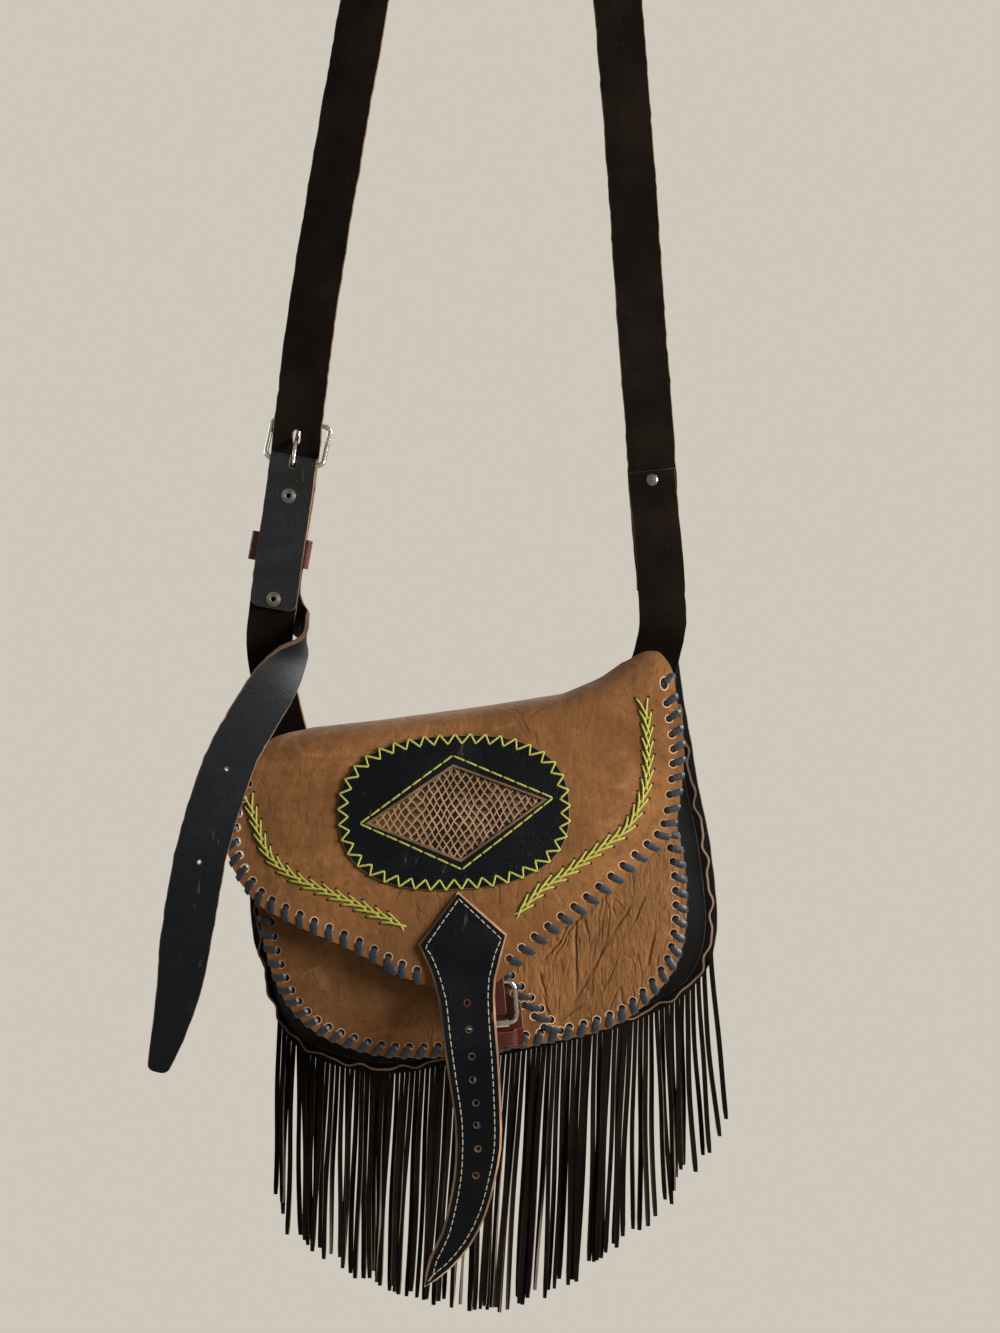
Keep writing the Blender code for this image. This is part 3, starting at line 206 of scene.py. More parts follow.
# Strap buckle: hinge bar in front of the strap, far bar behind it
STRAP_TILT = math.radians(-7.0)
STRAP_ACROSS = Vector((math.cos(STRAP_TILT), 0, math.sin(STRAP_TILT)))
TAB_WIDTH = 28.0
HINGE_BAR = (-110.6, -3.4, 142.5)
FAR_BAR = (-109.4, 4.5, 167.0)
STRAP_BUCKLE_WIDTH = 35.0
STRAP_WIRE = 1.4
TONGUE_WIRE = 1.2
TONGUE_TURNS_AT = (-3.6, 152.8)
TONGUE_SLOT = (4.4, 8.5)
TONGUE_SLOT_Z = 157.8
TAB_LONG = [
    (-112, 0, 128), (-115.2, 0, 92), (-118.2, 0, 58), (-119.5, 1.5, 32), (-115, 8, 5),
    (-108, 19.5, -22), (-105.5, 21.4, -36), (-105, 21.4, -64),
]
TAB_SHORT_FOOT_Z = 49.0
TAB_RIVETS = ((-112.4, 121.7), (-118.0, 59.5))
KEEPER_CENTRE = (-116.2, 89.5)
KEEPER_HEIGHT = 17.0
KEEPER_WIDTH = 35.0
EYELET_BARREL = 2.3

# Right lower strap
RIGHT_TAB = [
    (103.2, -3.1, 149), (107, -3.1, 125), (111, -3.1, 100), (113.6, -3.1, 76), (116, 4.5, 57), (114, 18.5, 38),
    (111, 21.4, 24), (109.5, 21.4, 10), (109, 21.4, -8),
]
RIVET_POINT = (104.1, 143.5)
RIVET_SHANK = 1.6

# Fringe
STRANDS = 86
FRINGE_LEFT = -104.0
FRINGE_RIGHT = 158.5
BAND_DEPTH = 9.0
FRINGE_TIPS = [
    (0.0, -302), (0.04, -325), (0.1, -331), (0.2, -346), (0.32, -357), (0.44, -363), (0.54, -365), (0.62, -357),
    (0.7, -344), (0.78, -328), (0.86, -305), (0.92, -280), (0.955, -269), (0.98, -264), (1.0, -238),
]
STRAND_FAN = 15.0
STRAND_DRIFT = 4.0


# Lines and outlines

def sides_of(polygon):
    return zip(polygon, polygon[1:] + polygon[:1])


def neighbours(points):
    """The point before and the point after each one of an open line."""
    return zip(points[:1] + points, points[1:] + points[-1:])


def partway(a, b, share):
    return tuple(p + (q - p) * share for p, q in zip(a, b))


def catmull(points, per_span, closed=False):
    """Points of a smooth curve through tuples of any length."""
    count = len(points)
    result = []
    for i in range(count if closed else count - 1):
        quad = [points[(i + k) % count if closed else min(max(i + k, 0), count - 1)] for k in (-1, 0, 1, 2)]
        for step in range(per_span):
            t = step / per_span
            result.append(tuple(
                0.5 * (2 * b + (c - a) * t + (2 * a - 5 * b + 4 * c - d) * t * t + (3 * b - a - 3 * c + d) * t ** 3)
                for a, b, c, d in zip(*quad)))
    return result if closed else result + [tuple(float(value) for value in points[-1])]


def interpolate(table, key):
    """Value at a key between (key, value) pairs in rising order of key."""
    if key <= table[0][0]:
        return table[0][1]
    for (k0, v0), (k1, v1) in zip(table, table[1:]):
        if key <= k1:
            return v0 + (v1 - v0) * (key - k0) / (k1 - k0)
    return table[-1][1]


def smooth_step(value):
    value = min(max(value, 0.0), 1.0)
    return value * value * (3 - 2 * value)


def polyline_lengths(points):
    return [0.0, *accumulate(math.dist(a, b) for a, b in zip(points, points[1:]))]


def resample(points, count):
    """The same polyline as count + 1 points at equal distances."""
    lengths = polyline_lengths(points)
    result, span = [], 0
    for i in range(count + 1):
        target = lengths[-1] * i / count
        while span < len(points) - 2 and lengths[span + 1] < target:
            span += 1
        share = (target - lengths[span]) / (lengths[span + 1] - lengths[span])
        result.append(partway(points[span], points[span + 1], share))
    return result


def divided(polygon, count=None, step=3.0):
    """A polygon with each side divided evenly, into count pieces or into pieces of about one step."""
    result = []
    for a, b in sides_of(polygon):
        result += resample([a, b], count or max(round(math.dist(a, b) / step), 1))[:-1]
    return result


def outward_normals(points):
    """Left-hand normals of an open outline that runs clockwise, so they point outward."""
    return [(-(b[1] - a[1]) / math.dist(a, b), (b[0] - a[0]) / math.dist(a, b)) for a, b in neighbours(points)]


def offset_outline(points, distances):
    return [(x + nx * d, z + nz * d) for (x, z), (nx, nz), d in zip(points, outward_normals(points), distances)]


def inside(point, polygon):
    x, y = point
    crossed = sum((y0 > y) != (y1 > y) and x < (x1 - x0) * (y - y0) / (y1 - y0) + x0
                  for (x0, y0), (x1, y1) in sides_of(polygon))
    return crossed % 2 == 1


def clip(polygon, point, normal):
    """The part of a polygon on the side of a line that its normal points to."""
    def height(p):
        return (p[0] - point[0]) * normal[0] + (p[1] - point[1]) * normal[1]
    result = []
    for a, b in sides_of(polygon):
        ha, hb = height(a), height(b)
        if ha >= 0:
            result.append(a)
        if ha * hb < 0:
            result.append(partway(a, b, ha / (ha - hb)))
    return result


def circle(centre, radius, sides):
    turns = [2 * math.pi * i / sides for i in range(sides)]
    return [(centre[0] + radius * math.cos(turn), centre[1] + radius * math.sin(turn)) for turn in turns]


def slot(middle, width, length, step, sides=8):
    """Round-ended slot along a strap, with points every step along its sides."""
    points = []
    run = (length - width) / 2
    count = max(round(2 * run / step), 1)
    for turn, sign in ((0, 1), (1, -1)):
        for i in range(sides + 1):
            angle = math.pi * (turn + i / sides)
            points.append((width / 2 * math.cos(angle), middle + sign * run + width / 2 * math.sin(angle)))
        points += [(-sign * width / 2, middle + sign * run * (1 - 2 * i / count)) for i in range(1, count)]
    return points


def to_world(point):
    return Vector([a - b for a, b in zip(point, PEG)]) * MM


def surface_normal(surface, u, v, step=0.5):
    across = surface(u + step, v) - surface(u - step, v)
    return across.cross(surface(u, v + step) - surface(u, v - step)).normalized()


def ribbon_surface(stations):
    """Surface over (across, along) of a strap given by (centre, across direction) stations, and its length."""
    dense = catmull([(*centre, *direction) for centre, direction in stations], 6)
    lengths = polyline_lengths([row[:3] for row in dense])

    def surface(u, v):
        v = min(max(v, 0.0), lengths[-1])
        low = min(bisect(lengths, v) - 1, len(dense) - 2)
        row = partway(dense[low], dense[low + 1], (v - lengths[low]) / (lengths[low + 1] - lengths[low]))
        return Vector(row[:3]) + Vector(row[3:]).normalized() * u
    return surface, lengths[-1]


def strap_stations(points):
    """Stations of a strap that faces the front, its across direction square to its run."""
    runs = [Vector(after) - Vector(before) for before, after in neighbours(points)]
    return [(Vector(point), run.cross(Vector((0, 1, 0))).normalized()) for point, run in zip(points, runs)]


def stops(length, step, ends=(0.0,)):
    """Places every step along a strap, the last of them at the given distances from its end."""
    result = [0.0]
    while result[-1] < length - 0.01:
        result.append(min(result[-1] + step, length))
    return result[:-1] + [length - drop for drop in ends]


def find_along(surface, length, height, side):
    """Where the strap passes a height on the side of the bag that side points to."""
    places = [length * i / 1000 for i in range(1001)]
    for _ in range(2):
        facing = [v for v in places if surface(0, v).x * side > 0]
        best = min(facing, key=lambda v: abs(surface(0, v).z - height))
        stride = places[1] - places[0]
        places = [best + stride * (i / 50 - 1) for i in range(101)]
    return best


def rivet_hole(surface, length):
    """Hole for the strap's rivet, on the strap's right run or on the strip below it."""
    x, z = RIVET_POINT
    along = find_along(surface, length, z, 1)
    across = (x - surface(0, along).x) / (surface(1, along).x - surface(0, along).x)
    return circle((across, along), RIVET_SHANK + FIT, 10)


def crossing(surface, low, high, x, z):
    """Position on one stretch of a strap of the point at x and z."""
    places = [low + (high - low) * i / 400 for i in range(401)]
    along = min(places, key=lambda v: abs(surface(0, v).z - z))
    return x - surface(0, along).x, along


def hinge_height(x):
    return HINGE_Z + HINGE_SLOPE * x


def front_y(x, z):
    """Middle of the front panels: leaning forward and softly bulged."""
    lean = FRONT_LEAN * smooth_step(-z / LEAN_DROP)
    across = max(1 - ((x - BULGE_CENTRE[0]) / BULGE_HALF[0]) ** 2, 0)
    upright = max(1 - ((z - BULGE_CENTRE[1]) / BULGE_HALF[1]) ** 2, 0)
    return FRONT_TOP_Y - lean - FRONT_BULGE * across * upright


def flap_y(x, z):
    """Middle of the flap: clear of the front, its tip lifted by the buckle behind it."""
    lift = TIP_LIFT * smooth_step((TIP_LIFT_FROM - z) / (TIP_LIFT_FROM - TIP_LIFT_TO))
    return front_y(x, z) - FLAP_STAND - lift


def wavy(points):
    """The rim with the ripples of its raw edge."""
    phases = [2 * math.pi * length / RIM_WAVE_LENGTH for length in polyline_lengths(points)]
    return offset_outline(points, [RIM_WAVE * (math.sin(p) + 0.5 * math.sin(1.7 * p + 1.0)) for p in phases])


def rim_points(rim, count):
    return resample(catmull(rim, 8), count)


def shrink(polygon, amount):
    """A convex polygon moved inward by amount along its corners."""
    centre = [sum(p[k] for p in polygon) / len(polygon) for k in (0, 1)]
    return [partway(centre, p, (math.dist(p, centre) - amount) / math.dist(p, centre)) for p in polygon]


def closure_outline(margin=0.0):
    """Straight top point and corners, curved blade below; a margin moves the edge inward."""
    points = CLOSURE_EDGE[:1] + catmull(CLOSURE_EDGE[1:12], 2) + catmull(CLOSURE_EDGE[11:22], 2)[1:]
    if margin:
        points = offset_outline(points[-1:] + points + points[:1], repeat(-margin))[1:-1]
    return divided(points)


def arch_points():
    """Round apex of the strap between its two runs, and the peg point under it."""
    left_lean = math.atan2(LEFT_RUN[0][0] - LEFT_RUN[1][0], LEFT_RUN[0][2] - LEFT_RUN[1][2])
    right_lean = math.atan2(RIGHT_RUN[1][0] - RIGHT_RUN[0][0], RIGHT_RUN[0][2] - RIGHT_RUN[1][2])
    # The circle's centre lies one radius inside both runs.
    a, b = (math.cos(left_lean), -math.sin(left_lean)), (-math.cos(right_lean), -math.sin(right_lean))
    ca = a[0] * LEFT_RUN[0][0] + a[1] * LEFT_RUN[0][2] + PEG_RADIUS
    cb = b[0] * RIGHT_RUN[0][0] + b[1] * RIGHT_RUN[0][2] + PEG_RADIUS
    det = a[0] * b[1] - a[1] * b[0]
    x, z = (ca * b[1] - a[1] * cb) / det, (a[0] * cb - ca * b[0]) / det
    start = math.pi - left_lean
    angles = [start + (right_lean - start) * i / 8 for i in range(9)]
    points = [(x + PEG_RADIUS * math.cos(angle), 0.0, z + PEG_RADIUS * math.sin(angle)) for angle in angles]
    return points, (x, 0.0, z + PEG_RADIUS - STRAP / 2)


ARCH, PEG = arch_points()


def rounded_frame(width, height, corner, steps=6):
    """Rounded rectangle about its middle, as across and along."""
    points = []
    for quarter, (sx, sy) in enumerate(((1, 1), (-1, 1), (-1, -1), (1, -1))):
        for i in range(steps + 1):
            angle = math.pi / 2 * (quarter + i / steps)
            points.append((sx * (width / 2 - corner) + corner * math.cos(angle),
                           sy * (height / 2 - corner) + corner * math.sin(angle)))
    return points


def front_frame_axes():
    """Across the buckle, and down the front where its base lies."""
    across = Vector((math.cos(BUCKLE_TILT), 0, math.sin(BUCKLE_TILT)))
    drop = FRONT_BUCKLE_BAR[1] - BASE_FOOT
    back = front_y(FRONT_BUCKLE_BAR[0], BASE_FOOT) - front_y(*FRONT_BUCKLE_BAR)
    down = Vector((math.sin(BUCKLE_TILT) * drop, back, -math.cos(BUCKLE_TILT) * drop)).normalized()
    return across, down


def front_bar_point():
    """Centre of the hinge bar, held off the front by the folded base."""
    ring = FRONT_WIRE + FIT + BASE / 2
    face = front_y(*FRONT_BUCKLE_BAR) - SUEDE / 2
    return Vector((FRONT_BUCKLE_BAR[0], face - BASE_STAND - BASE / 2 - ring, FRONT_BUCKLE_BAR[1]))


# Surfaces with the soft unevenness of worn leather

def ripple(x, z, scale, seed):
    return noise.noise(Vector((x / scale, z / scale, seed)))


def front_surface(x, z):
    relief = 0.9 * ripple(x, z, 38.0, 1.5) + 0.35 * ripple(x, z, 13.0, 4.5)
    return Vector((x, front_y(x, z) - relief, z))


def flap_surface(x, z):
    """Front of the flap in place of x and z, then over the fold to the hinge line."""
    relief = 0.9 * ripple(x, z, 42.0, 7.5) + 0.3 * ripple(x, z, 14.0, 9.5)
    hinge = hinge_height(x)
    if z <= hinge:
        return Vector((x, flap_y(x, z) - relief, z))
    turn = math.pi * (z - hinge) / FOLD_SPAN
    start = flap_y(x, hinge)
    rear = BACK_FACE_Y - BACK / 2
    half_depth = (rear - start) / 2
    rise = max(interpolate(FOLD_TOP, x) - hinge - SUEDE / 2, 3.0)
    fade = max(math.cos(turn), 0.0)
    return Vector((x, start + half_depth * (1 - math.cos(turn)) - relief * fade, hinge + rise * math.sin(turn)))


def raised_flap(height):
    def surface(x, z):
        base = flap_surface(x, z)
        return Vector((base.x, base.y - height, base.z))
    return surface


def closure_surface(height):
    """Sewn to the flap above, hanging free and bowed forward below."""
    def surface(x, z):
        sewn = max(z, CLOSURE_SEWN_TO)
        free = sewn - z
        bow = CLOSURE_BOW * smooth_step(free / 45.0) - CLOSURE_RETURN * smooth_step((free - 55.0) / 130.0)
        held = flap_surface(x, sewn).y
        return Vector((x, held - height - bow + 0.5 * ripple(x, z, 30.0, 3.3) * smooth_step(free / 30.0), z))
    return surface


def placed(surface, x, z, height):
    """Point at a height over the middle of a leather surface, and the surface's outward direction there."""
    normal = surface_normal(surface, x, z)
    return surface(x, z) + normal * height, normal


def eased(points, near=14.0):
    """Points with more of them along a very long stretch, so that a smooth line keeps straight there."""
    result = points[:1]
    for a, b in zip(points, points[1:]):
        run = math.dist(a, b)
        if run > 150.0:
            shares = (near / run, 3 * near / run, 0.5, 1 - 3 * near / run, 1 - near / run)
            result += [partway(a, b, share) for share in shares]
        result.append(b)
    return result


def strap_route():
    """The shoulder strap from the rivet over the peg to the end of its tail, smooth face to the back."""
    stations = strap_stations(eased(RIGHT_RUN[::-1] + ARCH[::-1] + LEFT_RUN) + BUCKLED)
    if stations[-1][1].x < 0:
        stations = [(centre, -across) for centre, across in stations]
    return stations + [(Vector(centre), Vector(across).normalized()) for centre, across in TAIL]


# Meshes

def add_object(name, data):
    made = bpy.data.objects.new(name, data)
    bpy.context.scene.collection.objects.link(made)
    return made


def dress(name, bm, finishes, body, replaces=(), bevel=0.0, angle=42.0):
    """Makes the finished object of a mesh, riding on its body."""
    bmesh.ops.recalc_face_normals(bm, faces=bm.faces)
    mesh = bpy.data.meshes.new(name)
    bm.to_mesh(mesh)
    bm.free()
    mesh.shade_smooth()
    mesh.set_sharp_from_angle(angle=math.radians(angle))
    piece = add_object(name, mesh)
    for finish in finishes:
        mesh.materials.append(bpy.data.materials[finish])
    if bevel:
        round_over = piece.modifiers.new("round_over", "BEVEL")
        round_over.width = bevel * MM
        round_over.segments = 2
        round_over.limit_method = "ANGLE"
        round_over.angle_limit = math.radians(50)
        round_over.harden_normals = False
        round_over.material = 1
    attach(piece, body)
    if replaces:
        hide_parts(*replaces)


def widened(hole, amount):
    """A hole's outline moved outward from its middle."""
    centre = [sum(p[k] for p in hole) / len(hole) for k in (0, 1)]
    reach = sum(math.dist(p, centre) for p in hole) / len(hole)
    return [partway(centre, p, 1 + amount / reach) for p in hole]


def sheet(outline, surface, thickness, holes=(), fill=(), worn=0.0):
    """Leather cut to a flat outline with holes and laid on a surface.

    Faces: outer 0, cut edge 1, inner 2. A ring of the given width round each hole is worn
    down to the colour of the cut edge.
    """
    rings = [widened(hole, worn) for hole in holes] if worn else []
    points, edges = [], []
    for loop in (outline, *holes, *rings):
        first = len(points)
        points += [Vector(p) for p in loop]
        edges += [(first + i, first + (i + 1) % len(loop)) for i in range(len(loop))]
    points += [Vector(p) for p in fill if not any(math.dist(p, ring[0]) < 40.0 and inside(p, ring) for ring in rings)]
    flat, _, triangles, *_ = delaunay_2d_cdt(points, edges, [], 0, 1e-4)
    boxes = [[pick(p[k] for p in hole) for k in (0, 1) for pick in (min, max)] for hole in holes]

    def within(spot, loops, margin):
        return any(x0 - margin < spot[0] < x1 + margin and z0 - margin < spot[1] < z1 + margin and inside(spot, loop)
                   for (x0, x1, z0, z1), loop in zip(boxes, loops))
    bm = bmesh.new()
    front, back, border = {}, {}, {}
    for triangle in triangles:
        middle = sum((flat[i] for i in triangle), Vector((0, 0))) / 3
        if not inside(middle, outline) or within(middle, holes, 0.0):
            continue
        for i in triangle:
            if i not in front:
                point = surface(*flat[i])
                offset = surface_normal(surface, *flat[i]) * thickness / 2
                front[i] = bm.verts.new(to_world(point + offset))
                back[i] = bm.verts.new(to_world(point - offset))
        bm.faces.new([front[i] for i in triangle]).material_index = 1 if within(middle, rings, worn) else 0
        bm.faces.new([back[i] for i in reversed(triangle)]).material_index = 2
        for a, b in sides_of(triangle):
            if (b, a) in border:
                del border[(b, a)]
            else:
                border[(a, b)] = True
    for a, b in border:
        bm.faces.new([front[b], front[a], back[a], back[b]]).material_index = 1
    return bm


def fill_points(outline, holes, spacing):
    """Staggered points inside an outline, clear of its border and its holes."""
    def cell_of(p):
        return int(p[0] // spacing), int(p[1] // spacing)
    buckets = {}
    for loop in (outline, *holes):
        for p in loop:
            buckets.setdefault(cell_of(p), []).append(p)
    low, high = ([pick(p[k] for p in outline) for k in (0, 1)] for pick in (min, max))
    counts = [int((high[k] - low[k]) / spacing) for k in (0, 1)]
    result = []
    for i in range(1, counts[0] + 1):
        for j in range(1, counts[1] + 1):
            spot = (low[0] + spacing * (i - 0.5 * (j % 2)), low[1] + spacing * j)
            a, b = cell_of(spot)
            near = [p for m in (-1, 0, 1) for n in (-1, 0, 1) for p in buckets.get((a + m, b + n), ())]
            if all(math.dist(spot, p) > 0.5 * spacing for p in near) and inside(spot, outline):
                if not any(inside(spot, hole) for hole in holes):
                    result.append(spot)
    return result


def cut(name, outline, surface, thickness, finishes, body, node, holes=(), spacing=4.0, worn=0.0, bevel=0.0):
    """A node's leather as a finished piece."""
    bm = sheet(outline, surface, thickness, holes, fill_points(outline, holes, spacing), worn)
    dress(name, bm, finishes, body, [node], bevel)


def grid_sheet(rows, thickness, worn=()):
    """A leather strip given as rows of middle points, thickened on both sides, with its cut edges."""
    count, width = len(rows), len(rows[0])
    bm = bmesh.new()
    outer, inner = [], []
    for i, row in enumerate(rows):
        pairs = []
        for j, point in enumerate(row):
            along = rows[min(i + 1, count - 1)][j] - rows[max(i - 1, 0)][j]
            across = row[min(j + 1, width - 1)] - row[max(j - 1, 0)]
            normal = along.cross(across).normalized() * thickness / 2
            pairs.append([bm.verts.new(to_world(point + normal)), bm.verts.new(to_world(point - normal))])
        outer.append([pair[0] for pair in pairs])
        inner.append([pair[1] for pair in pairs])

    def face(index, *corners):
        bm.faces.new(corners).material_index = index
    for i in range(count - 1):
        for j in range(width - 1):
            face(1 if j in worn else 0, outer[i][j], outer[i + 1][j], outer[i + 1][j + 1], outer[i][j + 1])
            face(1 if j in worn else 2, inner[i][j], inner[i][j + 1], inner[i + 1][j + 1], inner[i + 1][j])
        for j in (0, width - 1):
            face(1, outer[i][j], outer[i + 1][j], inner[i + 1][j], inner[i][j])
    for i in (0, count - 1):
        for j in range(width - 1):
            face(1, outer[i][j], outer[i][j + 1], inner[i][j + 1], inner[i][j])
    return bm


def section(centre, side, out, half_width, half_thickness):
    """Matrix that sets a unit circle as the cross-section at a station."""
    columns = (side * half_width * MM, out * half_thickness * MM, side.cross(out) * MM)
    matrix = Matrix([[column[k] for column in columns] for k in range(3)]).to_4x4()
    matrix.translation = to_world(centre)
    return matrix


def sweep(target, stations, sides=8, turn=0.0, edge_index=0):
    """Adds a strip to a mesh: a section carried along (centre, side, out, half width, half thickness)."""
    bm = bmesh.new()
    matrices = [section(*station) @ Matrix.Rotation(turn, 4, "Z") for station in stations]
    bmesh.ops.create_circle(bm, cap_ends=True, segments=sides, radius=1.0, matrix=matrices[0])
    bm.faces.ensure_lookup_table()
    cap = bm.faces[0]
    for before, here in zip(matrices, matrices[1:]):
        grown = bmesh.ops.extrude_face_region(bm, geom=[cap])["geom"]
        cap = next(item for item in grown if isinstance(item, bmesh.types.BMFace))
        bmesh.ops.transform(bm, matrix=here @ before.inverted(), verts=list(cap.verts))
    if edge_index:
        spots = [to_world(station[0]) for station in stations]
        for face in bm.faces:
            middle = face.calc_center_median()
            nearest = min(range(len(spots)), key=lambda k: (spots[k] - middle).length_squared)
            face.normal_update()
            if abs(face.normal.dot(stations[nearest][1])) > 0.6:
                face.material_index = edge_index
    bmesh.ops.recalc_face_normals(bm, faces=bm.faces)
    scrap = bpy.data.meshes.new("strip")
    bm.to_mesh(scrap)
    bm.free()
    target.from_mesh(scrap)
    bpy.data.meshes.remove(scrap)


def carry(target, points, outs, half_width, half_thickness, taper, sides=8):
    """Sweeps a section along points whose out directions are given; the ends are narrowed by taper."""
    stations = []
    for i, (before, after) in enumerate(neighbours(points)):
        run = (after - before).normalized()
        side = run.cross(outs[i]).normalized()
        share = taper if i in (0, len(points) - 1) else 1.0
        stations.append((points[i], side, side.cross(run).normalized(), half_width * share, half_thickness * share))
    sweep(target, stations, sides)


def laid(surface, steps):
    """Points at (x, z, height) over a surface, and the outward directions there."""
    pairs = [placed(surface, *step) for step in steps]
    return [point for point, _ in pairs], [out for _, out in pairs]


def thread(target, surface, spots, base, lift, radius, steps=6):
    """One stitch along spots: down into the leather at both ends and proud of it between them."""
    line = resample(spots if len(spots) == 2 else catmull(spots, 6), steps)
    heights = [base - radius * 0.9 + lift * math.sin(math.pi * (i / steps)) ** 0.45 for i in range(steps + 1)]
    points, outs = laid(surface, [(*spot, height) for spot, height in zip(line, heights)])
    carry(target, points, outs, radius, radius, 0.75, 6)


def along_path(points, spot):
    """Point, forward direction and left normal at a length along a polyline."""
    lengths = polyline_lengths(points)
    spot = min(max(spot, 0.0), lengths[-1] - 1e-6)
    low = bisect(lengths, spot) - 1
    a, b = points[low], points[low + 1]
    span = lengths[low + 1] - lengths[low]
    forward = ((b[0] - a[0]) / span, (b[1] - a[1]) / span)
    return partway(a, b, (spot - lengths[low]) / span), forward, (-forward[1], forward[0])


def shifted(point, direction, amount):
    return (point[0] + direction[0] * amount, point[1] + direction[1] * amount)


def scalloped(points, pitch, phase, amount, sign):
    """An edge pulled in a little where each stitch of the lacing holds it."""
    return offset_outline(points, [
        -amount * (0.5 + 0.5 * math.cos(2 * math.pi * (length - phase) / pitch)) * sign
        for length in polyline_lengths(points)])


# Shader maths

class Link:
    """A shader socket or number that takes part in Python arithmetic."""

    def __init__(self, shader, socket):
        self.shader = shader
        self.socket = socket

    def between(self, low, high, start=0.0, end=1.0):
        """Smooth step of this value from low to high."""
        values = {0: self, 1: low, 2: high, 3: start, 4: end}
        return self.shader.node("ShaderNodeMapRange", {"interpolation_type": "SMOOTHSTEP"}, values)


def link_maths(operation, reflected=False):
    def apply(link, *others):
        values = (*others, link) if reflected else (link, *others)
        return link.shader.node("ShaderNodeMath", {"operation": operation}, dict(enumerate(values)))
    return apply


for name, operation in (("add", "ADD"), ("sub", "SUBTRACT"), ("mul", "MULTIPLY"), ("truediv", "DIVIDE")):
    setattr(Link, f"__{name}__", link_maths(operation))
    setattr(Link, f"__r{name}__", link_maths(operation, reflected=True))
for name, operation in (("fraction", "FRACT"), ("absolute", "ABSOLUTE"), ("most", "MAXIMUM"), ("sine", "SINE")):
    setattr(Link, name, link_maths(operation))


class Finish:
    """A material built node by node round one Principled shader."""

    def __init__(self, name):
        self.material = bpy.data.materials.new(name)
        self.material.use_nodes = True
        self.tree = self.material.node_tree
        self.shader = self.tree.nodes["Principled BSDF"]
        where = self.tree.nodes.new("ShaderNodeTexCoord")
        self.place = Link(self, where.outputs["Object"])

    def feed(self, target, value):
        if isinstance(value, Link):
            self.tree.links.new(value.socket, target)
        else:
            target.default_value = value

    def node(self, kind, settings, values, output=0):
        made = self.tree.nodes.new(kind)
        for key, value in settings.items():
            setattr(made, key, value)
        for key, value in values.items():
            self.feed(made.inputs[key], value)
        return Link(self, made.outputs[output])

    def axis(self, index):
        return self.node("ShaderNodeSeparateXYZ", {}, {0: self.place}, index)

    def stretched(self, scale, turn=(0, 0, 0)):
        return self.node("ShaderNodeMapping", {}, {"Vector": self.place, "Scale": scale, "Rotation": turn})

    def noise(self, scale, detail=3.0, rough=0.55, vector=None, distortion=0.0):
        values = {"Vector": vector or self.place, "Scale": scale, "Detail": detail, "Roughness": rough}
        return self.node("ShaderNodeTexNoise", {}, {**values, "Distortion": distortion})

    def cells(self, scale):
        values = {"Vector": self.place, "Scale": scale}
        return self.node("ShaderNodeTexVoronoi", {"feature": "DISTANCE_TO_EDGE"}, values)

    def mix(self, factor, first, second):
        values = {0: factor, 6: self.colour(first), 7: self.colour(second)}
        return self.node("ShaderNodeMix", {"data_type": "RGBA"}, values, 2)

    def layers(self, base, colour, *layers):
        """A base under layers of (share, tone), each tone a colour or a factor of the given colour."""
        for share, tone in layers:
            base = self.mix(share, base, tone if isinstance(tone, tuple) else shade(colour, tone))
        return base

    @staticmethod
    def colour(value):
        return value if isinstance(value, Link) else (*tuple(value)[:3], 1.0)

    def finish(self, colour, roughness, height=None, distance=0.0003, strength=0.6, **constants):
        constants.update({"Base_Color": self.colour(colour), "Roughness": roughness})
        if height is not None:
            values = {"Strength": strength, "Distance": distance, "Height": height}
            constants["Normal"] = self.node("ShaderNodeBump", {}, values)
        for name, value in constants.items():
            self.feed(self.shader.inputs[name.replace("_", " ")], value)
        return self.material

    def ridge(self, scale, width, vector=None, distortion=1.0):
        """Thin meandering lines: 0 on a line, 1 away from it."""
        return (self.noise(scale, 2.0, 0.45, vector, distortion) - 0.5).absolute().between(0.0, width)

    def crease(self, start, end, width):
        """A straight crease between two places of the bag, fading out at its ends: 1 on it, 0 away from it."""
        run = math.dist(start, end)
        along = ((end[0] - start[0]) / run, (end[1] - start[1]) / run)
        x, z = self.axis(0) / MM + (PEG[0] - start[0]), self.axis(2) / MM + (PEG[2] - start[1])
        wander = (self.noise(70.0, 2.0) - 0.5) * 5.0
        away = (x * along[1] - z * along[0] + wander).absolute()
        spot = x * along[0] + z * along[1]
        fade = spot.between(0.0, run * 0.25) * spot.between(run * 0.6, run, 1.0, 0.0)
        return away.between(0.0, width, 1.0, 0.0) * fade


def shade(colour, factor):
    return tuple(min(channel * factor, 1.0) for channel in colour)


